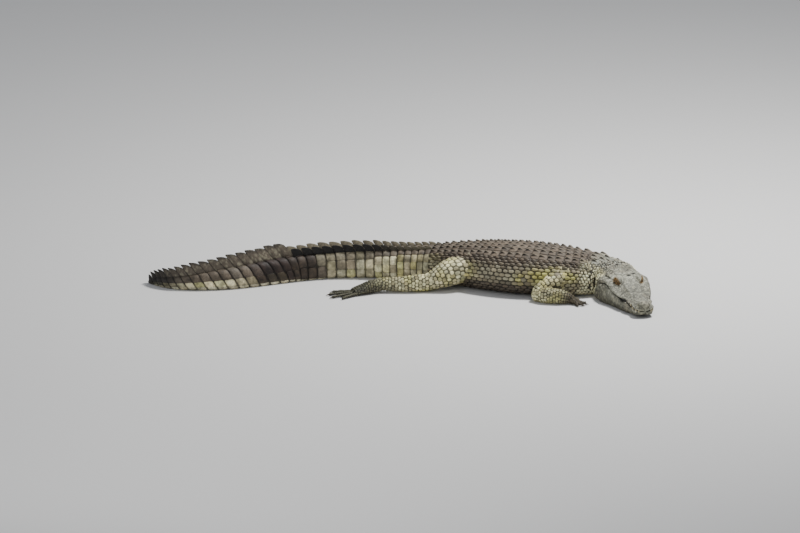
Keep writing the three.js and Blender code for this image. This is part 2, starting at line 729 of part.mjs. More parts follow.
function digit(limb, girdle, side, index) {
  const [root, tip] = digitLine(limb, index);
  const radius = limb.digitRadius * (1 - DIGIT_THINNING * index);
  const stops = [
    { at: root, wide: radius * DIGIT_ROOT_WIDTH, tall: radius },
    { at: tip, wide: radius * DIGIT_TIP, tall: radius * DIGIT_TIP },
  ];
  return sweep(stopsOn(girdle, side, stops), DIGIT_SIDES);
}

/** The webs between the digits: one thin sheet, its edge drawn in between each pair of digits. */
function webs(limb, girdle, side) {
  const reach = (index) => {
    const [root, tip] = digitLine(limb, index);
    return [lerp(root[0], tip[0], limb.webbed), lerp(root[1], tip[1], limb.webbed)];
  };
  const corners = limb.digits.fan.map((_, index) => reach(index));
  const edge = corners.flatMap((corner, index) => {
    if (index === corners.length - 1) return [corner];
    const middle = [0, 1].map((axis) => (corner[axis] + corners[index + 1][axis]) / 2);
    return [corner, middle.map((value, axis) => lerp(limb.digits.from[axis], value, WEB_EDGE))];
  });
  const outline = [limb.digits.from, ...edge];
  const layer = (up) => outline.map(([forward, outward]) => {
    return placeOnGirdle(girdle, side, [forward, outward, up]);
  });
  return solid(loft([layer(WEB_BOTTOM), layer(WEB_BOTTOM + WEB_THICKNESS)]));
}

/** A claw that curves down from a digit's tip. */
function claw(limb, girdle, side, index, grow = 0) {
  const [root, tip] = digitLine(limb, index).map((point) => placeOnGirdle(girdle, side, point));
  const forward = tip.clone().sub(root).setZ(0).normalize();
  const radius = limb.digitRadius * CLAW_ROOT;
  const stop = (reach, up, size) => ({
    at: tip.clone().addScaledVector(forward, reach * limb.claw).setZ(up),
    wide: radius * size,
    tall: radius * size,
  });
  const height = limb.digitRadius * DIGIT_TIP;
  const spare = grow / limb.claw;
  return sweep([stop(-spare, height, 1), stop(1 + spare, CLAW_TIP_UP, CLAW_TIP)], DIGIT_SIDES, grow);
}

function clawIndices() {
  return Array.from({ length: CLAWED_DIGITS }, (_, index) => index);
}

/** The hand or foot with its digits and any webs, with sockets for the claws. */
function limbEnd(limb, girdle, side) {
  const palm = roundedSweep(stopsOn(girdle, side, limb.end), PALM_SIDES);
  const digits = limb.digits.fan.map((_, index) => digit(limb, girdle, side, index));
  const sockets = clawIndices().map((index) => claw(limb, girdle, side, index, GAP));
  const between = limb.webbed > 0 ? [webs(limb, girdle, side)] : [];
  return cut(join(palm, [...digits, ...between]), sockets);
}

/** The three solids of a limb: each is cut clear of the trunk and of the length above it. */
function limbSolids(limb, girdle, side, body) {
  const upper = roundedSweep(stopsOn(girdle, side, limb.upper), LIMB_SIDES);
  const upperSpace = roundedSweep(stopsOn(girdle, side, limb.upper), LIMB_SIDES, GAP);
  const lower = roundedSweep(stopsOn(girdle, side, limb.lower), LIMB_SIDES);
  const lowerSpace = roundedSweep(stopsOn(girdle, side, limb.lower), LIMB_SIDES, GAP);
  return {
    upper: cut(upper, [body]),
    lower: cut(lower, [body, upperSpace]),
    end: cut(limbEnd(limb, girdle, side), [body, lowerSpace]),
  };
}

// ---------------------------------------------------------------- the animal

const MATERIALS = Object.fromEntries(Object.entries(COLOURS).map(([name, color]) => {
  const roughness = name === 'eye' ? 0.15 : 0.75;
  return [name, new THREE.MeshStandardMaterial({ color, roughness, metalness: 0 })];
}));

const animal = new THREE.Group();

function addPart(name, body, material) {
  const mesh = new THREE.Mesh(geometryOf(body), MATERIALS[material]);
  mesh.name = name;
  animal.add(mesh);
}

function addLimb(limb, girdle, side, names, body) {
  const where = side > 0 ? 'left' : 'right';
  const parts = limbSolids(limb, girdle, side, body);
  addPart(`${names.upper}_${where}`, parts.upper, 'limb');
  addPart(`${names.lower}_${where}`, parts.lower, 'limb');
  addPart(`${names.end}_${where}`, parts.end, 'limb');
  clawIndices().forEach((index) => {
    addPart(`${names.claw}_${where}_${index + 1}`, claw(limb, girdle, side, index), 'claw');
  });
}

function build() {
  addPart('tail_tip', tailLength(0, TAIL_TIP_END), 'tail');
  addPart('tail_middle', tailLength(TAIL_TIP_END, TAIL_MIDDLE_END), 'tail');
  addPart('tail_base', tailLength(TAIL_MIDDLE_END, VENT), 'tail');
  addPart('trunk', trunk(), 'back');
  addPart('neck', neck(), 'hide');
  addPart('head', head(), 'head');
  addPart('lower_jaw', lowerJaw(), 'head');
  addPart('eye_left', eye(1), 'eye');
  addPart('eye_right', eye(-1), 'eye');
  const body = trunk(GAP);
  [1, -1].forEach((side) => {
    const fore = { upper: 'upper_arm', lower: 'forearm', end: 'hand', claw: 'hand_claw' };
    const hind = { upper: 'thigh', lower: 'shank', end: 'foot', claw: 'foot_claw' };
    addLimb(FORELIMB, SHOULDER_GIRDLE, side, fore, body);
    addLimb(HINDLIMB, HIP_GIRDLE, side, hind, body);
  });
}

build();

export default animal;
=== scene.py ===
"""A life-size Nile crocodile lying still on a flat floor: its looks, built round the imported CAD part.

The shape is given in millimetres, as in the CAD source, and goes to metres when a mesh is made.
A station is a distance along the spine from the tail tip, "across" a distance to the animal's
left of the spine, and "up" a height above the floor. A girth is a place round a section: 0 is
the middle of the back, 1 the middle of the belly, and its sign is the side (+ is the left).
"""

import math

import bpy
import numpy as np
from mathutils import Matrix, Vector
from mathutils.bvhtree import BVHTree
from mathutils.kdtree import KDTree


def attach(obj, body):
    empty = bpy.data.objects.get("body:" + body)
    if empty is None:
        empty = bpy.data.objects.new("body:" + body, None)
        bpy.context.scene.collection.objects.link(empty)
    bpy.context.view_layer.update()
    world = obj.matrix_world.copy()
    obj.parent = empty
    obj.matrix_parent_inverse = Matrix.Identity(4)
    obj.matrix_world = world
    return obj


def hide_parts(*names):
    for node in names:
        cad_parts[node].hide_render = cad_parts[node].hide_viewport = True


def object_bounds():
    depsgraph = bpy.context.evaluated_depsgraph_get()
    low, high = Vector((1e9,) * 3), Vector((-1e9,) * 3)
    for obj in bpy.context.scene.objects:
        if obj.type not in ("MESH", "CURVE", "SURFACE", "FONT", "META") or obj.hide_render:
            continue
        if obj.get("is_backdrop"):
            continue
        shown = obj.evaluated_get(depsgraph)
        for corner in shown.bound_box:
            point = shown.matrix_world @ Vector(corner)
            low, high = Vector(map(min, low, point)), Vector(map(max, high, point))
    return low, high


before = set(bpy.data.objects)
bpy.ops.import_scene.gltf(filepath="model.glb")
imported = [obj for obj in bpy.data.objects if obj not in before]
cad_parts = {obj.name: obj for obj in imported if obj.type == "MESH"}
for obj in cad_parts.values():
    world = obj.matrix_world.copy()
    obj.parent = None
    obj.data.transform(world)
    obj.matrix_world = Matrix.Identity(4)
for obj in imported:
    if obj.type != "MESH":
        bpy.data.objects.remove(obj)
cad_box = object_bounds()

MM = 0.001
SIDES = {"left": 1, "right": -1}


# ------------------------------------------------------------------ curves and noise

def hermite(u, start, end, start_slope, end_slope):
    """A cubic from start to end as u goes from 0 to 1; the slopes are for the whole span."""
    first = (2 * u**3 - 3 * u**2 + 1) * start + (u**3 - 2 * u**2 + u) * start_slope
    return first + (3 * u**2 - 2 * u**3) * end + (u**3 - u**2) * end_slope


def profile(pairs):
    """A smooth curve through [station, value] pairs, which never overshoots them."""
    at, value = np.array(pairs, float).T
    secant = np.diff(value) / np.diff(at)
    product = secant[:-1] * secant[1:]
    total = secant[:-1] + secant[1:]
    inner = np.where(product > 0, 2 * product / np.where(total == 0, 1, total), 0)
    slope = np.concatenate([secant[:1], inner, secant[-1:]])

    def curve(station):
        x = np.clip(station, at[0], at[-1])
        i = np.clip(np.searchsorted(at, x, side="right") - 1, 0, len(at) - 2)
        span = at[i + 1] - at[i]
        return hermite((x - at[i]) / span, value[i], value[i + 1], slope[i] * span, slope[i + 1] * span)

    return curve


def smooth(low, high, x):
    """0 at low and before, 1 at high and past it, with an even rise between them."""
    u = np.clip((x - low) / (high - low), 0, 1)
    return u * u * (3 - 2 * u)


def bell(x, middle, reach):
    return np.exp(-(((x - middle) / reach) ** 2))


def window(x, low, high, soft):
    """1 between low and high, fading to 0 over soft outside them."""
    return smooth(low - soft, low, x) * (1 - smooth(high, high + soft, x))


def mix(a, b, share):
    return a + (b - a) * share


CELL_FACTORS = (73856093, 19349663, 83492791)
SEED_FACTOR, MIX_FACTOR, HASH_MASK = 2654435761, 1274126177, 0xFFFFFF


def hashed(cells, seed):
    """An even random number from 0 to 1 for each lattice cell (…, 3)."""
    h = np.int64(seed * SEED_FACTOR)
    for axis, factor in enumerate(CELL_FACTORS):
        h = h ^ (cells[..., axis].astype(np.int64) * factor)
    h = (h ^ (h >> 13)) * MIX_FACTOR
    h = h ^ (h >> 16)
    return (h & HASH_MASK) / float(HASH_MASK)


def noise(points, size, seed):
    """Smooth noise from 0 to 1 whose lumps are about size across."""
    scaled = points / size
    base = np.floor(scaled)
    u = scaled - base
    u = u * u * (3 - 2 * u)
    total = 0
    for corner in np.ndindex(2, 2, 2):
        step = np.array(corner)
        weight = np.prod(np.where(step == 1, u, 1 - u), axis=-1)
        total = total + weight * hashed(base + step, seed)
    return total


def cells(points, size, seed):
    """Distances to the nearest and the next of the scattered cell centres, in cells."""
    scaled = points / size
    base = np.floor(scaled)
    nearest = np.full(points.shape[:-1], np.inf)
    second = np.full(points.shape[:-1], np.inf)
    for corner in np.ndindex(3, 3, 3):
        cell = base + np.array(corner) - 1
        centre = cell + np.stack([hashed(cell, seed + axis) for axis in range(3)], axis=-1)
        distance = np.linalg.norm(scaled - centre, axis=-1)
        second = np.minimum(second, np.maximum(nearest, distance))
        nearest = np.minimum(nearest, distance)
    return nearest, second


# ------------------------------------------------------------------ driving dimensions

TAIL_TIP = (-1021.4, 23.8)
SPINE_STEP = 2
VENT = 1245
NECK_START, SKULL_BACK, SKULL_LENGTH = 1900, 2065, 366
SNOUT_TIP = SKULL_BACK + SKULL_LENGTH

HEADING = profile([
    [0, -55], [90, -38], [180, -10], [300, 10], [430, 23], [560, 29], [700, 24], [840, 10],
    [980, -3], [1290, -17], [1450, -21], [1600, -17], [1735, -10], [1845, -5], [1925, -18],
    [1985, -35], [2045, -66], [2090, -74.5],
])
HALF_WIDTH = profile([
    [0, 5], [40, 9], [157, 16], [305, 25], [564, 37], [900, 51], [1160, 74], [1250, 92],
    [1360, 122], [1500, 158], [1640, 178], [1780, 172], [1880, 146], [1960, 118], [2065, 92],
])
HEIGHT = profile([
    [0, 12], [40, 30], [157, 54], [305, 78], [564, 103], [900, 116], [1160, 130], [1360, 157],
    [1500, 172], [1640, 176], [1780, 168], [1880, 153], [1960, 138], [2065, 116],
])
WAIST = profile([[0, 0.45], [1100, 0.45], [1400, 0.4], [1800, 0.38], [2065, 0.45]])
UPPER_FULLNESS = profile([[0, 2.6], [600, 2.7], [1000, 2.5], [1300, 2.3], [2065, 2.3]])
LOWER_FULLNESS = profile([[0, 2.6], [1000, 2.8], [1300, 2.6], [2065, 2.6]])
BELLY_SINK = 0.1

# The head, along x from the back of the skull (0) to the snout tip (350 before scaling).
HEAD_MODEL = 350
HEAD_SCALE = SKULL_LENGTH / HEAD_MODEL
HEAD_RISE = 1.03
HEAD_REACH = -40
RIDGE = profile([
    [-40, 126], [0, 117], [60, 116], [90, 113], [120, 104], [150, 91], [190, 79], [230, 69],
    [270, 60], [322, 54], [338, 47], [350, 30],
])
CROWN = profile([
    [-40, 60], [0, 46], [60, 42], [115, 38], [150, 33], [190, 27], [230, 24], [270, 20],
    [322, 24], [338, 18], [350, 3],
])
SIDE = profile([
    [-40, 98], [0, 97], [60, 94], [90, 88], [120, 80], [150, 74], [190, 66], [225, 61],
    [245, 59], [270, 47], [288, 37], [305, 41], [322, 41], [336, 33], [345, 20], [350, 5],
])
LIP = profile([
    [-40, 55], [0, 58], [28, 66], [60, 74], [85, 78], [102, 75], [120, 67], [140, 58],
    [177, 50], [205, 48], [234, 46], [250, 43], [266, 42], [280, 42], [292, 39], [305, 35],
    [322, 32], [350, 28],
])
JAW = profile([
    [-40, 103], [0, 107], [60, 105], [91, 97], [151, 77], [217, 60], [245, 54], [288, 40],
    [322, 36], [338, 28], [350, 4],
])
LIP_SHARE = 0.965
CHIN_SHARE = 0.9
EDGE_SOFTENING = 0.035  # girth over which the edge between the head's top and side is rounded
SOFTENED_GIRTHS = (0.33, 0.56, 0.12)
HEAD_BLEND = (SKULL_BACK - 70, SKULL_BACK + 10)  # stations between which the neck becomes the head
CROWN_DROP = 3.5
CHIN = profile([[0, 0], [190, 0], [300, 8], [335, 12], [350, 20]])
SNOUT_ROUND = 330
# Girths of the ridge, two on the crown, the temple, the side, the lip, the jaw, the chin and the middle.
LANDMARK_GIRTHS = np.array([0, 0.1, 0.2, 0.33, 0.45, 0.5, 0.6, 0.78, 1])

EYE = (118, 45, 98)
EYE_RADIUS = 12.5
BROW = {"at": (114, 41, 98), "size": (27, 15, 13.5)}
NOSE = {"at": (321, 0, 49), "size": (26, 26, 15)}
UPPER_TEETH = [316, 334]
LOWER_TEETH = [284, 297, 322, 340]

WHORL_PITCH = profile([
    [0, 24], [120, 30], [300, 40], [480, 43], [700, 45], [860, 44], [960, 39], [1035, 33], [1245, 27],
])
FIRST_WHORL = 14
SINGLE_CREST_END = 640
CREST_HEIGHT = profile([[0, 14], [40, 22], [157, 34], [305, 46], [564, 56], [640, 60]])
CREST_LEAN = math.radians(38)
CREST_ROOT, CREST_THICKNESS = 7, 9
TWIN_CREST_HEIGHT = profile([[640, 34], [760, 28], [1000, 22], [1110, 13], [1245, 9]])
TWIN_CREST_ACROSS = profile([[640, 11], [760, 22], [1245, 34]])
SCUTE_ROW = 31.5

# A limb's stops are [forward, outward, up, half its width, half its height], from its girdle. The digits
# start round "from", fan out about the bearing in degrees, and the first ones carry claws.
SHOULDER_GIRDLE = {"station": 1836, "left_swing": 0}
HIP_GIRDLE = {"station": 1394, "left_swing": 16}
FORELIMB = {
    "upper": [[-4, 104, 86, 46, 50], [-66, 162, 62, 36, 43], [-128, 198, 38, 26, 30]],
    "lower": [
        [-138, 206, 27, 22, 26], [-90, 226, 31, 30, 33], [-40, 233, 30, 28, 31], [6, 234, 22, 20, 20],
        [17, 237, 16, 19, 15], [28, 239, 14, 25, 13], [37, 241, 12, 24, 10],
    ],
    "from": [30, 240, 9], "bearing": 10, "fan": [58, 27, 0, -27, -60], "lengths": [28, 38, 41, 36, 27],
    "digit_radius": 7, "knuckles": 15, "webbed": 0, "claw": 11,
}
HINDLIMB = {
    "upper": [[28, 60, 88, 66, 52], [-18, 126, 76, 62, 56], [-84, 184, 46, 40, 42]],
    "lower": [
        [-92, 192, 38, 32, 37], [-150, 222, 36, 32, 35], [-215, 252, 33, 26, 30],
        [-272, 276, 34, 23, 28], [-289, 290, 31, 23, 27], [-306, 304, 29, 26, 27],
        [-338, 332, 22, 32, 20], [-366, 357, 15, 34, 13],
    ],
    "from": [-354, 346, 10], "bearing": 138, "fan": [24, 8, -8, -24], "lengths": [92, 114, 118, 96],
    "digit_radius": 9, "knuckles": 40, "webbed": 0.72, "claw": 18,
}
LIMBS = {
    "fore": {"shape": FORELIMB, "girdle": SHOULDER_GIRDLE, "nodes": ["upper_arm", "forearm", "hand"],
             "claw": "hand_claw"},
    "hind": {"shape": HINDLIMB, "girdle": HIP_GIRDLE, "nodes": ["thigh", "shank", "foot"],
             "claw": "foot_claw"},
}
CLAWED_DIGITS = 3
DIGIT_THINNING = 0.045
DIGIT_TIP_HEIGHT = 0.72  # share of a digit's radius at which its tip lies
CLAW_TIP_UP = 1.75

# How deep the skin lies under the outline, which the tops of the scales reach.
COAT_DEPTH = profile([
    [0, 1.2], [150, 2.5], [700, 3.5], [1400, 4], [1900, 3.5], [2040, 3], [2085, 0.5], [2443, 0.3],
])
LIMB_COAT_DEPTH = 2.5


# ------------------------------------------------------------------ body coordinates

def trace_spine():
    middles = np.arange(0, SNOUT_TIP, SPINE_STEP) + SPINE_STEP / 2
    bearing = np.radians(HEADING(middles))
    strides = np.stack([np.cos(bearing), np.sin(bearing)], axis=1) * SPINE_STEP
    return np.vstack([TAIL_TIP, TAIL_TIP + np.cumsum(strides, axis=0)])


SPINE = trace_spine()


def place(station, across, up):
    """Body coordinates to points (…, 3) in the part's frame."""
    station, across, up = np.broadcast_arrays(station, across, up)
    at = np.arange(len(SPINE)) * SPINE_STEP
    bearing = np.radians(HEADING(station))
    x = np.interp(station, at, SPINE[:, 0]) - np.sin(bearing) * across
    y = np.interp(station, at, SPINE[:, 1]) + np.cos(bearing) * across
    return np.stack([x, y, up], axis=-1)


def place_on_head(x, across, up):
    return place(SKULL_BACK + x * HEAD_SCALE, across * HEAD_SCALE, up * HEAD_RISE)


def place_on_girdle(girdle, side, forward, outward, up):
    """A point given from a girdle, on side +1 (left) or -1 (right)."""
    origin = place(girdle["station"], 0, 0)
    swing = girdle["left_swing"] if side > 0 else 0
    bearing = math.radians(float(HEADING(girdle["station"])) + swing)
    x = origin[0] + math.cos(bearing) * forward - math.sin(bearing) * outward * side
    y = origin[1] + math.sin(bearing) * forward + math.cos(bearing) * outward * side
    return np.array([x, y, up])


def body_section(station, girth):
    height = HEIGHT(station)
    waist = height * WAIST(station)
    upper = girth < 0.5
    power = 2 / np.where(upper, UPPER_FULLNESS(station), LOWER_FULLNESS(station))
    angle = (0.5 - girth) * np.pi
    outward = np.abs(np.cos(angle)) ** power
    upward = np.abs(np.sin(angle)) ** power
    up = np.where(upper, waist + (height - waist) * upward, waist - waist * (1 + BELLY_SINK) * upward)
    return HALF_WIDTH(station) * outward, np.maximum(up, 0)


def girth_at_share(station, share):
    """The girth at which the body reaches a share of its half-width above the waist."""
    return 0.5 - np.arccos(share ** (UPPER_FULLNESS(station) / 2)) / np.pi


def head_landmarks(x):
    """Across and up (9, …) of the section's landmarks, from the ridge to the underside's middle."""
    ridge, crown, side, lip_up, jaw, chin_up = RIDGE(x), CROWN(x), SIDE(x), LIP(x), JAW(x), CHIN(x)
    crown_up = ridge - CROWN_DROP * (1 - smooth(SNOUT_ROUND, HEAD_MODEL, x))
    side_up = mix(lip_up, crown_up, 0.25)
    middle = 0 * x
    landmarks = [
        (middle, ridge),
        (crown * 0.5, mix(crown_up, ridge, 0.75)),
        (crown, crown_up),
        (mix(crown, side, 0.55), mix(crown_up, side_up, 0.58)),
        (side, side_up),
        (side * LIP_SHARE, lip_up),
        (jaw, lip_up / 2 + 2),
        (jaw * CHIN_SHARE, chin_up),
        (middle, chin_up),
    ]
    across, up = zip(*landmarks)
    return np.array(across), np.array(up)


def through_landmarks(values, girth, mirror):
    """One coordinate of a smooth curve through the landmarks; it is mirrored at both ends."""
    knots = np.concatenate([[-LANDMARK_GIRTHS[1]], LANDMARK_GIRTHS, [2 - LANDMARK_GIRTHS[-2]]])
    padded = np.concatenate([mirror * values[1:2], values, mirror * values[-2:-1]])
    slopes = (padded[2:] - padded[:-2]) / (knots[2:] - knots[:-2]).reshape(-1, *[1] * (values.ndim - 1))
    i = np.clip(np.searchsorted(LANDMARK_GIRTHS, girth, side="right") - 1, 0, len(LANDMARK_GIRTHS) - 2)
    span = LANDMARK_GIRTHS[i + 1] - LANDMARK_GIRTHS[i]

    def pick(table, index):
        return np.take_along_axis(table, index[None], axis=0)[0]

    u = (girth - LANDMARK_GIRTHS[i]) / span
    rise, further_rise = pick(slopes, i) * span, pick(slopes, i + 1) * span
    return hermite(u, pick(values, i), pick(values, i + 1), rise, further_rise)


def section(station, girth):
    """Across and up of the animal's section at a girth from 0 to 1."""
    station, girth = np.broadcast_arrays(np.asarray(station, float), np.asarray(girth, float))
    body = body_section(np.minimum(station, SKULL_BACK), girth)
    x = np.clip((station - SKULL_BACK) / HEAD_SCALE, HEAD_REACH, HEAD_MODEL)
    across, up = head_landmarks(x)
    soft = EDGE_SOFTENING * window(girth, *SOFTENED_GIRTHS)
    around = [girth - soft, girth, girth + soft]
    across = sum(through_landmarks(across, near, -1) for near in around) / len(around)
    up = sum(through_landmarks(up, near, 1) for near in around) / len(around)
    head = (across * HEAD_SCALE, np.maximum(up, 0) * HEAD_RISE)
    share = smooth(*HEAD_BLEND, station)
    return mix(body[0], head[0], share), mix(body[1], head[1], share)


# ------------------------------------------------------------------ surfaces

def grid_normals(points):
    """Outward unit normals of a grid of rings (rings, columns, 3) that close round the columns."""
    along = np.gradient(points, axis=0)
    around = np.roll(points, -1, axis=1) - np.roll(points, 1, axis=1)
    normals = np.cross(along, around)
    normals /= np.maximum(np.linalg.norm(normals, axis=2, keepdims=True), 1e-9)
    outward = points - points.mean(axis=1, keepdims=True)
    return normals if (normals * outward).sum() > 0 else -normals


class Sheet:
    """A closed surface of rings along u, resampled so that v runs evenly round each ring."""

    COLUMNS = 240

    def __init__(self, u, rings):
        closed = np.concatenate([rings, rings[:, :1]], axis=1)
        steps = np.linalg.norm(np.diff(closed, axis=1), axis=2)
        arcs = np.concatenate([np.zeros((len(u), 1)), np.cumsum(steps, axis=1)], axis=1)
        even = np.linspace(0, 1, self.COLUMNS, endpoint=False)
        self.u = np.asarray(u, float)
        self.girths = arcs
        self.rounds = arcs[:, -1]
        self.points = np.array([
            [np.interp(even * arc[-1], arc, ring[:, axis]) for axis in range(3)]
            for arc, ring in zip(arcs, closed)
        ]).transpose(0, 2, 1)
        self.normals = grid_normals(self.points)

    def round(self, u):
        """Length of the ring at u."""
        return np.interp(u, self.u, self.rounds)

    def sample(self, u, v):
        """Points and normals at u, and v round the ring from 0 to 1."""
        row = np.clip(np.interp(u, self.u, np.arange(len(self.u))), 0, len(self.u) - 1.001)
        column = np.mod(v, 1) * self.COLUMNS
        i, j = row.astype(int), column.astype(int) % self.COLUMNS
        right = (j + 1) % self.COLUMNS
        a, b = (row - i)[..., None], (column - np.floor(column))[..., None]

        def blend(grid):
            near = mix(grid[i, j], grid[i, right], b)
            return mix(near, mix(grid[i + 1, j], grid[i + 1, right], b), a)

        normals = blend(self.normals)
        return blend(self.points), normals / np.linalg.norm(normals, axis=-1, keepdims=True)


# ------------------------------------------------------------------ colours

def linear(red, green, blue):
    """An 8-bit display colour as linear light."""
    c = np.array([red, green, blue]) / 255
    return np.where(c <= 0.04045, c / 12.92, ((c + 0.055) / 1.055) ** 2.4)


BACK_BROWN = linear(102, 91, 77)
BACK_DARK = linear(66, 57, 50)
FLANK_OLIVE = linear(128, 120, 98)
YELLOW_GREEN = linear(184, 178, 104)
CREAM = linear(186, 180, 152)
NECK_CREAM_AND_LIGHT = linear(248, 243, 200)
BELLY_PALE = linear(190, 184, 158)
TAIL_BROWN = linear(104, 94, 80)
TAIL_DARK = linear(44, 41, 38)
TAIL_SIDE = linear(208, 200, 160)
MUD = linear(42, 30, 25)
HEAD_GREY = linear(160, 159, 142)
JAW_GREY_AND_SHADE = linear(90, 88, 73)
SNOUT_GREY = linear(132, 131, 116)
EYE_BROWN = linear(130, 102, 60)
LIMB_GREEN = linear(176, 170, 118)
LIMB_PALE = linear(238, 232, 190)
HAND_BROWN_AND_SHADE = linear(62, 52, 41)
FOOT_DARK = linear(64, 63, 55)
# painted shade: the dark of the skin between the scales, of the lids' folds and of the head's grooves
GAP_SHADE = linear(38, 34, 28)
CREST_BLACK_AND_SHADE = linear(10, 9, 9)
# the keels: dark sides, partly their own colour and partly painted shade, under a painted highlight on the crest
KEEL_BLACK_AND_SHADE = linear(22, 19, 16)
KEEL_HIGHLIGHT_TAN = linear(176, 164, 140)
NAPE_GREY = linear(150, 148, 132)


def spread(colour, shape):
    return np.broadcast_to(colour, shape + (3,)).copy()


def tint(base, colour, share):
    """Base colours (…, 3) drawn towards a colour by a share (…)."""
    return base + (colour - base) * np.asarray(share)[..., None]


# Yellow patches of the flank: station, reach along, share of the half girth, reach round.
YELLOW_PATCHES = [
    (1755, 55, 0.40, 0.08), (1668, 30, 0.51, 0.06), (1715, 40, 0.47, 0.05), (1420, 45, 0.45, 0.12),
    (1835, 40, 0.45, 0.05),
]


def flank_marking(station, girth_share, fine):
    """Olive with cream flecks and yellow patches, and a dark band low on the side."""
    colour = tint(spread(FLANK_OLIVE, station.shape), CREAM, 0.5 * fine)
    yellow = sum(bell(station, at, reach) * bell(girth_share, share, tall)
                 for at, reach, share, tall in YELLOW_PATCHES)
    colour = tint(colour, YELLOW_GREEN, np.clip(yellow, 0, 1) * smooth(0.3, 0.6, fine))
    low_band = window(girth_share, 0.57, 0.72, 0.05) * window(station, 1420, 1760, 60)
    return tint(colour, BACK_DARK, 0.85 * low_band)


def tail_marking(station, girth_share, patch, fine, points):
    """Brown above and pale on the sides, with a muddy band in the middle and a dark tip."""
    side = tint(spread(TAIL_SIDE, station.shape), CREAM, 0.6 * patch)
    side = tint(side, YELLOW_GREEN, 0.6 * smooth(0.5, 0.8, fine))
    flecks = 0.5 * (1 - smooth(0.2, 0.45, fine)) + 0.5 * window(station, 640, 860, 90)
    upper_row = 0.6 * window(girth_share, 0.18, 0.3, 0.08) * window(station, 860, VENT, 60)
    side = tint(side, TAIL_BROWN, np.maximum(flecks, upper_row))
    edge = np.where(station < SINGLE_CREST_END, 0.52, 0.2)
    colour = tint(spread(TAIL_BROWN, station.shape), TAIL_DARK, 0.4 * fine)
    colour = tint(colour, side, smooth(edge, edge + 0.08, girth_share))
    mud = window(station, 500, 720, 90) * smooth(0.25, 0.6, noise(points, 60, 13) + 0.25)
    colour = tint(colour, MUD, 0.95 * mud)
    return tint(colour, TAIL_DARK * 0.6, 0.9 * (1 - smooth(60, 250, station)))


def body_marking(station, girth_share, points):
    """The scales' colour; girth_share is 0 at the back's middle and 1 at the belly's."""
    patch = noise(points, 90, 11)
    fine = noise(points, 28, 12)
    colour = tint(spread(BACK_BROWN, station.shape), BACK_DARK, 0.5 * fine)
    side = smooth(0.30, 0.46, girth_share + 0.08 * (patch - 0.5))
    colour = tint(colour, flank_marking(station, girth_share, fine), side)
    # the neck's sides: cream, brightened further as painted light
    neck_side = smooth(1850, 1930, station) * smooth(0.16, 0.34, girth_share)
    colour = tint(colour, NECK_CREAM_AND_LIGHT, neck_side * (0.35 + 0.65 * smooth(0.25, 0.6, fine)))
    nape = smooth(1905, 1950, station) * (1 - smooth(0.2, 0.3, girth_share))
    colour = tint(colour, NAPE_GREY, 0.85 * nape)
    tail = tail_marking(station, girth_share, patch, fine, points)
    colour = tint(colour, tail, 1 - smooth(1180, 1330, station))
    return tint(colour, BELLY_PALE, smooth(0.72, 0.86, girth_share))


def limb_marking(limb, reach, points):
    """A limb's colour; reach is 0 at its root and 1 at the end of the hand or foot."""
    patch = noise(points, 55, 21)
    fine = noise(points, 20, 22)
    colour = tint(spread(LIMB_GREEN, reach.shape), LIMB_PALE, patch)
    colour = tint(colour, YELLOW_GREEN, 0.55 * smooth(0.5, 0.7, noise(points, 32, 23)))
    root = smooth(0.16, 0.04, reach)
    colour = tint(colour, BACK_BROWN, 0.5 * smooth(0.45, 0.8, fine) + 0.4 * root)
    if limb == "fore":
        colour = colour * (1 - 0.3 * smooth(0.35, 0.6, reach))[..., None]
        # the hand: brown, darkened further by painted shade
        return tint(colour, HAND_BROWN_AND_SHADE, 0.9 * smooth(0.74, 0.88, reach))
    return tint(colour, FOOT_DARK, 0.9 * smooth(0.62, 0.8, reach + 0.2 * (patch - 0.5)))


# ------------------------------------------------------------------ meshes

def new_object(name, data):
    """An object linked to the scene."""
    made = bpy.data.objects.new(name, data)
    bpy.context.scene.collection.objects.link(made)
    return made


def dress(made, material, replaced=()):
    """Gives a piece its material and the part's one body, in place of CAD nodes."""
    made.data.materials.clear()
    made.data.materials.append(material)
    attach(made, "root")
    if replaced:
        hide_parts(*replaced)


def gather(parts):
    """Joins (points, faces) parts into one array of points and one list of face arrays."""
    starts = np.cumsum([0] + [len(points) for points, _ in parts[:-1]])
    kinds = zip(*(faces for _, faces in parts))
    faces = [np.vstack([group + start for group, start in zip(kind, starts)]) for kind in kinds]
    return np.vstack([points for points, _ in parts]), faces


def mesh_from_arrays(name, points, faces, colours=None, relief=None, uv=None):
    """A mesh from points in millimetres and a list of face arrays, all of one length each."""
    mesh = bpy.data.meshes.new(name)
    mesh.vertices.add(len(points))
    mesh.vertices.foreach_set("co", (np.asarray(points) * MM).astype(np.float32).ravel())
    loops = np.concatenate([group.ravel() for group in faces])
    totals = np.concatenate([np.full(len(group), group.shape[1]) for group in faces])
    mesh.loops.add(len(loops))
    mesh.loops.foreach_set("vertex_index", loops.astype(np.int32))
    mesh.polygons.add(len(totals))
    mesh.polygons.foreach_set("loop_start", (np.cumsum(totals) - totals).astype(np.int32))
    mesh.polygons.foreach_set("loop_total", totals.astype(np.int32))
    mesh.update(calc_edges=True)
    if uv is not None:
        layer = mesh.uv_layers.new(name="OFBake")
        layer.data.foreach_set("uv", uv[loops].astype(np.float32).ravel())
    if colours is not None:
        set_marking(mesh, colours, relief)
    mesh.shade_smooth()
    return mesh


def set_marking(mesh, colours, relief):
    """The colours, markings with painted light and shade among them, and how far each point rises out of the
    creases (0 to 1), by which the material paints shade into the creases.
    """
    marking = mesh.attributes.new("marking", "FLOAT_COLOR", "POINT")
    full = np.concatenate([np.clip(colours, 0, 1), np.ones((len(colours), 1))], axis=1)
    marking.data.foreach_set("color", full.astype(np.float32).ravel())
    height = mesh.attributes.new("relief", "FLOAT", "POINT")
    height.data.foreach_set("value", np.asarray(relief, np.float32))


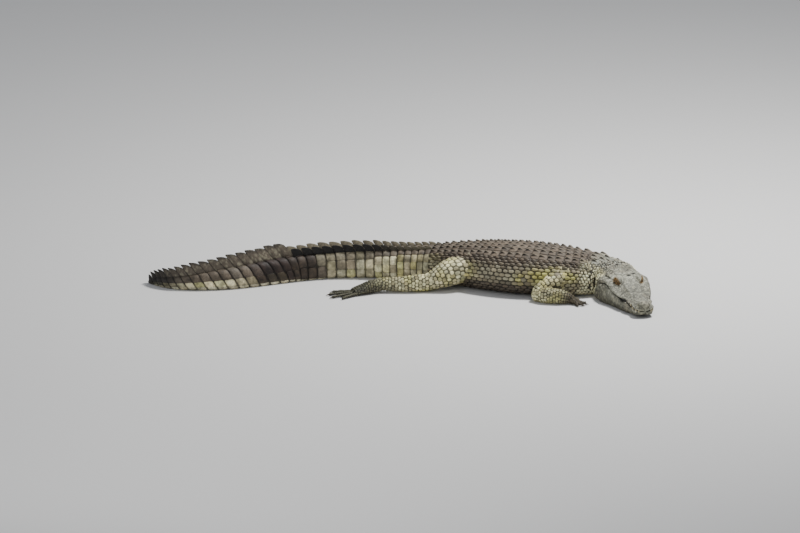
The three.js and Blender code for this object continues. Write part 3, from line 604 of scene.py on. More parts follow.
def grid_faces(rings, columns):
    """Quads of a grid of closed rings, and a fan of triangles over each end."""
    index = np.arange(rings * columns).reshape(rings, columns)
    right = np.roll(index, -1, axis=1)
    quads = np.stack([index[:-1], right[:-1], right[1:], index[1:]], axis=-1).reshape(-1, 4)
    first = np.full(columns, rings * columns)
    start = np.stack([right[0], index[0], first], axis=1)
    end = np.stack([index[-1], right[-1], first + 1], axis=1)
    return quads, np.vstack([start, end])


def closed_grid(points):
    """Points and faces of a closed grid of rings, wound so that the faces point out."""
    rings, columns, _ = points.shape
    flat = np.vstack([points.reshape(-1, 3), points[0].mean(axis=0), points[-1].mean(axis=0)])
    quads, fans = grid_faces(rings, columns)
    a, b, c = (flat[quads[:, k]] for k in range(3))
    if (np.cross(b - a, c - a) * (a - flat.mean(axis=0))).sum() < 0:
        quads, fans = quads[:, ::-1], fans[:, ::-1]
    return flat, [quads, fans]


# ------------------------------------------------------------------ the head's forms

def swell(x, across, up, at, size, core, soft):
    """
    Pushes section points out to an ellipsoid. The push runs straight out from the core, a point
    (across, up) inside both, and soft rounds the crease. All of it is in the head's units.
    """
    reach = 1 - ((x - at[0]) / size[0]) ** 2
    open_ring = reach > 0.001
    reach = np.where(open_ring, reach, 1)
    dy, dz = across - core[0], up - core[1]
    base = np.maximum(np.hypot(dy, dz), 1e-6)
    dy, dz = dy / base, dz / base
    oy, oz = core[0] - at[1], core[1] - at[2]
    a = (dy / size[1]) ** 2 + (dz / size[2]) ** 2
    b = oy * dy / size[1] ** 2 + oz * dz / size[2] ** 2
    c = (oy / size[1]) ** 2 + (oz / size[2]) ** 2 - reach
    root = b * b - a * c
    out = np.where((root > 0) & open_ring, (-b + np.sqrt(np.maximum(root, 0))) / a, 0)
    share = np.clip(0.5 + 0.5 * (out - base) / soft, 0, 1)
    pushed = mix(base, out, share) + soft * share * (1 - share)
    pushed = np.where(out > 0, pushed, base)
    return core[0] + dy * pushed, core[1] + dz * pushed


def unit(vector):
    return vector / np.linalg.norm(vector)


# The left eye's axes in the head's frame: out of the pupil, along the lids to the front, and up.
GAZE = unit([0.35, 0.78, 0.52])
LID_LINE = unit(np.cross(np.cross(GAZE, [1, 0, -0.12]), GAZE))
LID_UP = np.cross(LID_LINE, GAZE)
LID_THICKNESS = 1.5
LID_REACH = math.radians(56)  # half the length of the opening, as an angle round the eyeball
LID_OPEN_UP, LID_OPEN_DOWN = math.radians(15), math.radians(19)
LID_DEPTH = 4  # how far behind the eyeball's face the skin inside the opening lies
NOSE_CORE = (0, 38)


def from_eye(x, across, up):
    """A point's offset from the middle of its side's eye: along the lids, up across them, out."""
    offset = np.stack([x - EYE[0] + 0 * across, np.abs(across) - EYE[1], up - EYE[2]], axis=-1)
    return offset @ LID_LINE, offset @ LID_UP, offset @ GAZE


def lid_angles(x, across, up):
    """Angles along and across the lids' opening, round the eye on this point's side."""
    forward, upward, out = from_eye(x, across, up)
    return np.arctan2(forward, out), np.arctan2(upward, out)


def lid_gap(along, above):
    """How far inside the opening of the lids a direction lies: 0 on their edge, below 0 outside."""
    arch = np.sqrt(np.clip(1 - (along / LID_REACH) ** 2, 0, 1))
    outside = np.abs(along) > LID_REACH
    limit = np.where(above > 0, LID_OPEN_UP, LID_OPEN_DOWN) * arch
    return np.where(outside, -np.abs(above) - 0.05, limit - np.abs(above))


def head_forms(x, across, up):
    """The brows, lids and nose pushed out of the head's plain section (head's units)."""
    across, up = swell(x, across, up, NOSE["at"], NOSE["size"], NOSE_CORE, 4)
    for side in SIDES.values():
        here = np.sign(across) == side
        core = (side * (EYE[1] - 12), EYE[2] - 25)
        at = (BROW["at"][0], side * BROW["at"][1], BROW["at"][2])
        brow = swell(x, across, up, at, BROW["size"], core, 5)
        lid_size = [EYE_RADIUS + LID_THICKNESS] * 3
        lid = swell(x, *brow, (EYE[0], side * EYE[1], EYE[2]), lid_size, core, 2)
        across = np.where(here, lid[0], across)
        up = np.where(here, lid[1], up)
    return across, up


def lid_creases(along, above):
    """Folds of the skin over and under the lids, from -1 in a crease to 1 on a fold."""
    under = smooth(-0.3, -0.42, above) * window(along, -0.7, 0.7, 0.3)
    over = bell(above, LID_OPEN_UP + 0.42, 0.1) * window(along, -0.8, 0.8, 0.3)
    return under * np.sin(above * 17) - over


def open_lids(x, across, up):
    """Sinks the skin behind the eyeball inside the lids' opening, and raises their rims."""
    along, above = lid_angles(x, across, up)
    forward, upward, out = from_eye(x, across, up)
    distance = np.maximum(np.sqrt(forward**2 + upward**2 + out**2), 1e-6)
    near = (out / distance > 0.2) & (distance < EYE_RADIUS * 1.7)
    gap = lid_gap(along, above)
    rim = 0.9 * bell(gap, -0.07, 0.09)
    folds = 0.8 * lid_creases(along, above)
    target = mix(distance + near * (rim + folds), EYE_RADIUS - LID_DEPTH, smooth(-0.04, 0.07, gap) * near)
    scale = np.where(near, target / distance, 1)
    middle = EYE[1] * np.sign(across)
    return middle + (across - middle) * scale, EYE[2] + (up - EYE[2]) * scale


MOUTH_SAG = profile([[0, 0], [190, 0], [215, 2], [249, -4], [264, -1], [280, 7], [300, 4], [322, -3],
                     [350, 0]])
CHEEK_EDGE = 0  # where the crease between the jaw and the neck runs
# Two small holes in the top of the skull, at x and across.
HEAD_PITS = [(97, 7), (83, 28)]
# Grooves in the head's top: their ends' x and distance across, their half width, depth and darkness, which is
# painted shade.
TOP_GROOVES = [
    ((66, 74), (104, 58), 1.8, 1.6, 0.65),
    ((140, 46), (153, 52), 1.6, 1.2, 0.5),
]
# Ridges (+) and dips (-) over girths: height, girth, reach, and along x their start, end and fade.
GIRTH_RIDGES = {
    "rim of the skull's table": (2.6, 0.185, 0.03, 2, 92, 12),
    "flap over the ear": (2.2, 0.285, 0.02, 24, 78, 12),
}
# The same over distances across, which run between two values from one x to another.
SNOUT_RIDGES = {
    "dip between the eyes": (-1.4, (98, 0), (150, 0), 16, 98, 150, 14),
    "ridge before each eye": (2.0, (140, 30), (240, 22), 5, 142, 236, 16),
    "dip along the snout": (-1.2, (150, 0), (300, 0), 9, 150, 300, 20),
}


def soft_line(x, side, start, end, reach):
    """1 along a line between two places on the head, each its x and distance across."""
    run = np.subtract(end, start)
    share = np.clip(((x - start[0]) * run[0] + (side - start[1]) * run[1]) / (run @ run), 0, 1)
    return bell(np.hypot(x - start[0] - share * run[0], side - start[1] - share * run[1]), 0, reach)


def head_grooves(x, side, up, girth):
    """The grooves of the head as (where each runs from 0 to 1, its depth, its darkness of painted shade)."""
    on_top = girth < 0.3
    mouth_gap = 1.8 + 6.5 * bell(x, 228, 24) + 4.5 * bell(x, 298, 17)
    from_mouth = np.abs(up - (LIP(x) - MOUTH_SAG(x)))
    mouth = smooth(1.35, 0.65, from_mouth / mouth_gap) * smooth(16, 30, x) * (girth > 0.36) * (girth < 0.66)
    crease = bell(x, CHEEK_EDGE + 0.08 * (up - 60), 3.2) * window(girth, 0.40, 0.86, 0.05)
    under_jowl = bell(up, LIP(x) - 31, 2.2) * window(x, 15, 92, 14) * (girth > 0.45)
    nostril = bell(np.hypot(x - 327, side - 8.5), 4.2, 1.4) * (up > 44)
    nostril = nostril * smooth(324, 329, x + 0.6 * (side - 8.5))
    nose_rim = bell(np.hypot(x - NOSE["at"][0], side * 0.95), 26.5, 2.2) * (x < 316)
    brow_rim = bell(np.hypot((x - BROW["at"][0]) / 1.7, side - BROW["at"][1]), 20.5, 1.7) * (side < 40)
    grooves = [
        (bell(girth, 0.318, 0.010) * window(x, 34, 80, 8), 3.2, 0.75),  # the ear's slit
        (mouth, 4.5 + 4.5 * bell(x, 232, 28), 1.0),
        (crease, 5.5, 0.95),
        (under_jowl, 1.6, 0.35),
        (nostril * on_top, 2.6, 0.9),
        (nose_rim * on_top, 2.0, 0.7),
        (brow_rim * window(x, 92, 148, 8) * (girth < 0.25), 1.5, 0.55),
    ]
    for start, end, reach, depth, darkness in TOP_GROOVES:
        grooves.append((soft_line(x, side, start, end, reach) * (girth < 0.42), depth, darkness))
    return grooves


def head_pits(x, across, girth):
    """The two holes in the top of the skull, on one side only, as grooves with painted shade in them."""
    for pit_x, pit_across in HEAD_PITS:
        pit = bell(np.hypot((x - pit_x) / 5.5, (across - pit_across) / 8.5), 0, 1)
        yield np.clip(1.8 * pit, 0, 1) * (girth < 0.3), 4.5, 1.0


def head_relief(x, across, up, girth, points):
    """How far the skin rises along its normal, in millimetres, and how dark it is (0 to 1): painted shade in the
    grooves and in the cracks between the skull's plates, and dark spots.
    """
    side = np.abs(across)
    rise, dark = np.zeros_like(across), np.zeros_like(across)
    for height, middle, reach, *span in GIRTH_RIDGES.values():
        rise += height * bell(girth, middle, reach) * window(x, *span)
    for height, near, far, reach, *span in SNOUT_RIDGES.values():
        middle = np.interp(x, [near[0], far[0]], [near[1], far[1]])
        rise += height * bell(side, middle, reach) * window(x, *span)
    from_lip = up - LIP(x)
    lips = bell(from_lip, 6, 3.5) + 0.7 * bell(from_lip, -6.5, 3.5)
    rise += 1.5 * lips * smooth(60, 110, x) * (girth > 0.38) * (girth < 0.68)
    over_teeth = sum(bell(x, tooth, 8) for tooth in UPPER_TEETH)
    rise += 1.3 * over_teeth * bell(from_lip, 8, 8) * (girth > 0.36) * (girth < 0.6)
    rise += 4.5 * bell(x, 52, 26) * bell(from_lip, -15, 11) * (girth > 0.4)  # the jowl
    for line, depth, darkness in [*head_grooves(x, side, up, girth), *head_pits(x, across, girth)]:
        rise -= depth * line
        dark = np.maximum(dark, darkness * line)
    skull = smooth(-25, 5, x)
    plates, next_plates = cells(points, 13, 41)
    pock, next_pock = cells(points, 6, 42)
    rise += skull * 0.9 * (smooth(0.02, 0.22, next_plates - plates) - 0.6)
    rise += skull * 0.6 * (smooth(0.05, 0.4, next_pock - pock) - 0.5)
    # painted shade in the cracks between the skull's plates
    gaps = 0.45 + 0.35 * smooth(95, 40, x)
    dark = np.maximum(dark, skull * gaps * (1 - smooth(0.02, 0.18, next_plates - plates)))
    return rise, np.maximum(dark, skull * 0.42 * smooth(0.38, 0.12, pock))


def head_marking(x, across, up, girth, dark, points):
    """Clay grey, darker on the snout, darker on the jaw partly by painted shade, with brown lids, painted shade
    in the grooves and a painted highlight on the nose.
    """
    jaw = smooth(0.5, 0.7, girth)
    colour = tint(spread(HEAD_GREY, x.shape), JAW_GREY_AND_SHADE, jaw)
    colour = tint(colour, SNOUT_GREY, smooth(130, 190, x) * (1 - jaw))
    colour = tint(colour, BACK_BROWN, 0.35 * smooth(0.45, 0.8, noise(points, 40, 51)))
    colour = colour * (0.5 + noise(points, 9, 52))[..., None]
    colour = tint(colour, CREAM, 0.3 * smooth(0.6, 0.85, noise(points, 16, 53)))
    # a painted highlight on the front of the nose pad
    colour = tint(colour, CREAM, 0.5 * bell(np.hypot(x - 334, across), 0, 14) * (girth < 0.4))
    forward, upward, out = from_eye(x, across, up)
    lids = (out > -4) * (1 - smooth(0.8, 1.15, np.hypot((forward - 3) / 25, (upward + 5) / 12.5)))
    colour = tint(colour, EYE_BROWN * (0.6 + 0.8 * noise(points, 5, 54))[..., None], 0.95 * lids)
    # painted shade in the folds over and under the lids
    creases = np.clip(-1.3 * lid_creases(*lid_angles(x, across, up)), 0, 1)
    colour = tint(colour, GAP_SHADE, 0.8 * lids * creases)
    # painted shade in the grooves, with the head's dark spots
    return tint(colour, GAP_SHADE * 0.35, dark)


# ------------------------------------------------------------------ the skin

SKIN_PITCH = profile([
    [0, 4], [60, 9], [1850, 11], [1990, 6], [2050, 2.7], [2160, 2.3], [2172, 0.95], [2214, 0.95],
    [2230, 2.3], [2380, 2.0], [2443, 1.6],
])
HALF_COLUMNS = 96


def walk(start, end, pitch):
    """Stations from start to end, each a pitch after the last."""
    stations = [start]
    while stations[-1] + float(pitch(stations[-1])) < end:
        stations.append(stations[-1] + float(pitch(stations[-1])))
    return np.array(stations + [end])


def skin_girths():
    """Girths all round, signed for the side, closest round the eyes and along the lips."""
    fine = np.linspace(0, 1, 2001)
    density = 0.55 + 0.45 * smooth(0.7, 0.55, fine)
    density += 3.2 * bell(fine, 0.245, 0.055) + 2.6 * bell(fine, 0.5, 0.02)
    total = np.cumsum(density)
    half = np.interp(np.linspace(total[0], total[-1], HALF_COLUMNS + 1), total, fine)
    return np.concatenate([half, -half[-2:0:-1]])


def skin_tone(station, share, points):
    """The skin between the body's scales: the scales' colour, darkened by painted shade, least on the back."""
    under = mix(0.4, 0.1, smooth(1850, 1950, station))
    on_back = (station > VENT) & (station < NECK_START) & (share < 0.35)
    markings = body_marking(station, share, points)
    return tint(spread(GAP_SHADE, share.shape), markings, np.where(on_back, 0.62, under))


def body_skin():
    """The body's skin as rings of points, with its colour and relief."""
    stations = walk(0, SNOUT_TIP, SKIN_PITCH)
    girths = skin_girths()
    across, up = section(stations[:, None], np.abs(girths)[None, :])
    across = across * np.where(girths < 0, -1, 1)
    station = np.broadcast_to(stations[:, None], across.shape)
    girth = np.broadcast_to(np.abs(girths), across.shape)
    x = (station - SKULL_BACK) / HEAD_SCALE
    lidded = open_lids(x, *head_forms(x, across / HEAD_SCALE, up / HEAD_RISE))
    on_head = x > HEAD_REACH
    across = np.where(on_head, lidded[0] * HEAD_SCALE, across)
    up = np.where(on_head, lidded[1] * HEAD_RISE, up)
    head_place = (x, across / HEAD_SCALE, up / HEAD_RISE, girth)
    outline = place(station, across, up)
    rise, dark = head_relief(*head_place, outline)
    lift = rise * (x > -30) - COAT_DEPTH(station)
    points = outline + grid_normals(outline) * lift[..., None]
    points[..., 2] = np.maximum(points[..., 2], 0)
    arcs = Sheet(stations, points).girths[:, :-1]
    share = 1 - np.abs(1 - 2 * arcs / arcs.max(axis=1, keepdims=True).clip(1e-6))
    lower = smooth(0.3, 0.45, girth)
    head_start = mix(-22, CHEEK_EDGE - 6, lower)
    on_face = smooth(head_start, head_start + mix(18, 4, lower), x)
    colour = tint(skin_tone(station, share, points), head_marking(*head_place, dark, points), on_face)
    # low relief, by which the material paints shade between the body's scales and in the head's grooves
    relief = mix(0.3, 1, smooth(-22, -4, x)) * (1 - 0.8 * dark)
    return stations, points, colour, relief


def limb_path(stops, girdle, side, pitch):
    """Rows (distance along, x, y, z, half width, half height) every pitch along a limb's stops."""
    placed = np.array([place_on_girdle(girdle, side, *stop[:3]) for stop in stops])
    reach = np.concatenate([[0], np.cumsum(np.linalg.norm(np.diff(placed, axis=0), axis=1))])
    values = np.hstack([placed, np.array([stop[3:] for stop in stops], float)])
    along = np.linspace(0, reach[-1], max(4, int(reach[-1] / pitch)))
    curves = [profile(np.stack([reach, value], axis=1)) for value in values.T]
    return np.stack([along] + [curve(along) for curve in curves], axis=1)


CAP_RINGS, CAP_LENGTH = 4, 0.9


def end_cap(end, inner, direction):
    """Rows of ever smaller rings that round off the end of a limb's path."""
    angles = np.linspace(0, np.pi / 2, CAP_RINGS + 2)[1:-1, None]
    past = min(end[4:]) * CAP_LENGTH * np.sin(angles)
    outward = unit(end[1:4] - inner[1:4])
    return np.hstack([end[0] + direction * past, end[1:4] + outward * past, end[4:] * np.cos(angles)])


def limb_rings(stops, girdle, side, columns, pitch=5):
    """Oval rings along a limb, with rounded ends, kept above the floor."""
    rows = limb_path(stops, girdle, side, pitch)
    rows = np.vstack([end_cap(rows[0], rows[1], -1)[::-1], rows, end_cap(rows[-1], rows[-2], 1)])
    along, centres, wide, tall = rows[:, 0], rows[:, 1:4], rows[:, 4], rows[:, 5]
    direction = np.gradient(centres, axis=0)
    direction /= np.linalg.norm(direction, axis=1, keepdims=True)
    level = np.cross([0, 0, 1], direction)
    level /= np.linalg.norm(level, axis=1, keepdims=True)
    upright = np.cross(direction, level)
    angle = 2 * np.pi * np.arange(columns) / columns
    ring = centres[:, None] + level[:, None] * (np.cos(angle)[:, None] * wide[:, None, None])
    ring = ring + upright[:, None] * (np.sin(angle)[:, None] * tall[:, None, None])
    ring[..., 2] = np.maximum(ring[..., 2], 0)
    return along, ring


def inset(rings, depth):
    """The rings moved in by a depth, and kept nearly as far above the floor."""
    points = rings - grid_normals(rings) * depth
    points[..., 2] = np.maximum(points[..., 2], depth * 0.9)
    return points


def digit_line(shape, index):
    """Root and tip of a digit as [forward, outward, up] from the girdle."""
    bearing = math.radians(shape["bearing"])
    fan = math.radians(shape["fan"][index])
    aside = shape["knuckles"] * math.sin(fan)
    root = np.array([shape["from"][0] - math.sin(bearing) * aside,
                     shape["from"][1] + math.cos(bearing) * aside, shape["from"][2]])
    length = shape["lengths"][index]
    tip = root + [math.cos(bearing + fan) * length, math.sin(bearing + fan) * length, 0]
    tip[2] = shape["digit_radius"] * DIGIT_TIP_HEIGHT
    return root, tip


def digit_stops(shape, index):
    """A digit with three knobbly joints."""
    root, tip = digit_line(shape, index)
    radius = shape["digit_radius"] * (1 - DIGIT_THINNING * index)
    joints = []
    for share in np.linspace(0, 1, 13):
        size = radius * mix(1.12, 0.72, share) * (1 + 0.09 * math.cos(2 * math.pi * share * 3))
        joints.append([*mix(root, tip, share), size, size * 0.95])
    return joints


WEB_STEPS, WEB_DRAW = 6, 0.2
WEB_LEVELS = [(0.97, 2.0), (1.0, 3.2), (0.97, 5.0)]  # shrink and height of each ring


def web_rings(shape, girdle, side):
    """The webs of a foot: a thin sheet whose edge draws in between the digits."""
    start = np.array(shape["from"][:2])
    tips = [mix(*digit_line(shape, index), shape["webbed"])[:2] for index in range(len(shape["fan"]))]
    edge = []
    for near, far in zip(tips, tips[1:]):
        for share in np.linspace(0, 1, WEB_STEPS + 1)[:-1]:
            drawn = 1 - WEB_DRAW * math.sin(math.pi * share)
            edge.append(mix(start, mix(near, far, share), drawn))
    outline = np.array([start, *edge, tips[-1]])
    centre = outline.mean(axis=0)
    rings = [[place_on_girdle(girdle, side, *point, up) for point in mix(centre, outline, shrink)]
             for shrink, up in WEB_LEVELS]
    return np.array(rings)


LIMB_COLUMNS, DIGIT_COLUMNS = 38, 18
DIGIT_PITCH, DIGIT_COAT_DEPTH = 3.5, 1.2
UPPER_SHARE = 0.4  # the upper length's share of a limb's reach


class Limb:
    """One limb's surfaces: the upper and lower lengths and the digits."""

    def __init__(self, kind, where):
        self.kind, self.where, self.side = kind, where, SIDES[where]
        spec = LIMBS[kind]
        self.shape, self.girdle = spec["shape"], spec["girdle"]
        self.lengths = {}
        for part in ("upper", "lower"):
            along, rings = limb_rings(self.shape[part], self.girdle, self.side, LIMB_COLUMNS)
            self.lengths[part] = (along, inset(rings, LIMB_COAT_DEPTH))
        self.digits = []
        for index in range(len(self.shape["fan"])):
            stops = digit_stops(self.shape, index)
            along, rings = limb_rings(stops, self.girdle, self.side, DIGIT_COLUMNS, DIGIT_PITCH)
            self.digits.append((along, inset(rings, DIGIT_COAT_DEPTH)))

    def reach(self, part, along):
        """0 at the limb's root, 1 at the end of its lower length and all over its digits."""
        if part not in self.lengths:
            return 1 + 0 * along
        share = np.clip(along / self.lengths[part][0][-1], 0, 1)
        return share * UPPER_SHARE if part == "upper" else UPPER_SHARE + (1 - UPPER_SHARE) * share

    def skin_parts(self):
        for part, (along, rings) in self.lengths.items():
            yield rings, self.reach(part, along)
        for along, rings in self.digits:
            yield rings, np.ones(len(along))
        if self.shape["webbed"]:
            rings = web_rings(self.shape, self.girdle, self.side)
            yield rings, np.ones(len(rings))


def closed_object(name, rings, colours):
    points, faces = closed_grid(rings)
    flat = colours.reshape(-1, 3)
    flat = np.vstack([flat, flat[:1], flat[-1:]])
    return new_object(name, mesh_from_arrays(name, points, faces)), points, flat


def join_by_union(target, others):
    """Joins the others into the target, and removes them."""
    for other in others:
        modifier = target.modifiers.new("union", "BOOLEAN")
        modifier.operation = "UNION"
        modifier.solver = "MANIFOLD"
        modifier.object = other
    depsgraph = bpy.context.evaluated_depsgraph_get()
    joined = bpy.data.meshes.new_from_object(target.evaluated_get(depsgraph))
    target.modifiers.clear()
    target.data = joined
    for other in others:
        bpy.data.objects.remove(other)
    return target


def mesh_points(mesh):
    points = np.zeros(len(mesh.vertices) * 3, np.float32)
    mesh.vertices.foreach_get("co", points)
    return points.reshape(-1, 3).astype(float) / MM


def mesh_edges(mesh):
    edges = np.zeros(len(mesh.edges) * 2, np.int32)
    mesh.edges.foreach_get("vertices", edges)
    return edges.reshape(-1, 2)


GAP_TONE = 0.25  # the share of a limb's own colour that its skin shows between the scales; the rest is painted shade
# the limbs' skin lies low, so the material paints shade on it
LIMB_SKIN_RELIEF = 0.5
JOIN_DISTANCE = 0.02  # a point further than this from every source came from the joining
JOIN_REACH, JOIN_FADE = 5, 0.86
JOIN_ROUNDS, JOIN_STEP = 14, 0.6


def soften_joins(mesh, new_vertices):
    """Relaxes the skin where limbs were joined on, strongest on the join itself."""
    points, edges = mesh_points(mesh), mesh_edges(mesh)
    weight = new_vertices.astype(float)
    degree = np.bincount(edges.ravel(), minlength=len(points)).clip(1)
    for _ in range(JOIN_REACH):
        nearby = weight.copy()
        np.maximum.at(nearby, edges[:, 0], weight[edges[:, 1]] * JOIN_FADE)
        np.maximum.at(nearby, edges[:, 1], weight[edges[:, 0]] * JOIN_FADE)
        weight = nearby
    for _ in range(JOIN_ROUNDS):
        total = np.zeros_like(points)
        for axis in range(3):
            total[:, axis] = np.bincount(edges[:, 0], points[edges[:, 1], axis], len(points))
            total[:, axis] += np.bincount(edges[:, 1], points[edges[:, 0], axis], len(points))
        points += (total / degree[:, None] - points) * (weight * JOIN_STEP)[:, None]
    mesh.vertices.foreach_set("co", (points * MM).astype(np.float32).ravel())
    mesh.update()


def nearest_sources(points, sources):
    """For each point the index of the nearest source point, and its distance."""
    tree = KDTree(len(sources))
    for i, source in enumerate(sources):
        tree.insert(source, i)
    tree.balance()
    found = [tree.find(point)[1:] for point in points]
    return np.array([f[0] for f in found]), np.array([f[1] for f in found])


def make_skin(limbs):
    """One closed skin for the body and limbs, with no seam."""
    stations, rings, colour, relief = body_skin()
    skin, sources, colours = closed_object("skin", rings, colour)
    reliefs = np.concatenate([relief.ravel(), relief.ravel()[[0, -1]]])
    sources, colours, reliefs = [sources], [colours], [reliefs]
    joined = []
    for limb in limbs:
        parts = []
        for number, (part, reach) in enumerate(limb.skin_parts()):
            tone = limb_marking(limb.kind, np.broadcast_to(reach[:, None], part.shape[:2]), part)
            # the limbs' skin between the scales, darkened by painted shade
            tone = mix(GAP_SHADE, tone, GAP_TONE)
            made, points, flat = closed_object(f"part_{number}", part, tone)
            parts.append(made)
            sources.append(points)
            colours.append(flat)
            reliefs.append(np.full(len(points), LIMB_SKIN_RELIEF))
        joined.append(join_by_union(parts[0], parts[1:]))
    join_by_union(skin, joined)
    index, distance = nearest_sources(mesh_points(skin.data), np.vstack(sources))
    soften_joins(skin.data, distance > JOIN_DISTANCE)
    set_marking(skin.data, np.vstack(colours)[index], np.concatenate(reliefs)[index])
    skin.data.shade_smooth()
    return skin, Sheet(stations, rings)


# ------------------------------------------------------------------ scales

# A scale's rings from its root up, as shares of its radius and height; -1 is the root under the skin.
RING_LEVELS = [(0.92, -1), (1.0, 0.0), (0.985, 0.45), (0.93, 0.8), (0.8, 0.95), (0.5, 1.0), (0.22, 1.0)]
KEELED_LEVELS = RING_LEVELS[:4] + [(0.84, 0.95), (0.68, 1), (0.5, 1), (0.32, 1), (0.14, 1)]
FLAT_LEVELS = [(0.95, -1), (1.0, 0.0), (0.97, 0.8), (0.85, 1.0)]
ROOT_DEPTH = 2.5
OUTLINE_STEPS = 1441
OUTLINE_WAVES = (2, 3, 4)  # how many lumps each of a scale's uneven waves has
FULL_KEEL = 6  # height from which a keel is fully coloured
PATCH = 0.0015  # half the width of a scale's patch in the bake's map
PATCH_FILL = 0.95
FINE_MOTTLE, TAIL_MOTTLE = (0.16, 7), (0.6, 15)  # strength and size of the mottling


def paint_keels(colours, keel, ridge, along):
    """Painted tan highlights on the crests, and rear sides black, partly dark horn and partly painted shade, as
    strong as the keels are high.
    """
    keeled = np.clip(keel / FULL_KEEL, 0, 1)[:, None]
    # crest is the painted highlight on the keel's top, sides the painted shade below it
    crest = smooth(0.72, 0.95, ridge) * smooth(0.9, 0.2, along)
    sides = smooth(0.02, 0.3, ridge) * (1 - smooth(0.72, 0.9, ridge)) * smooth(0.5, -0.15, along)
    return tint(tint(colours, KEEL_HIGHLIGHT_TAN, 0.5 * keeled * crest), KEEL_BLACK_AND_SHADE, 0.9 * sides * keeled)


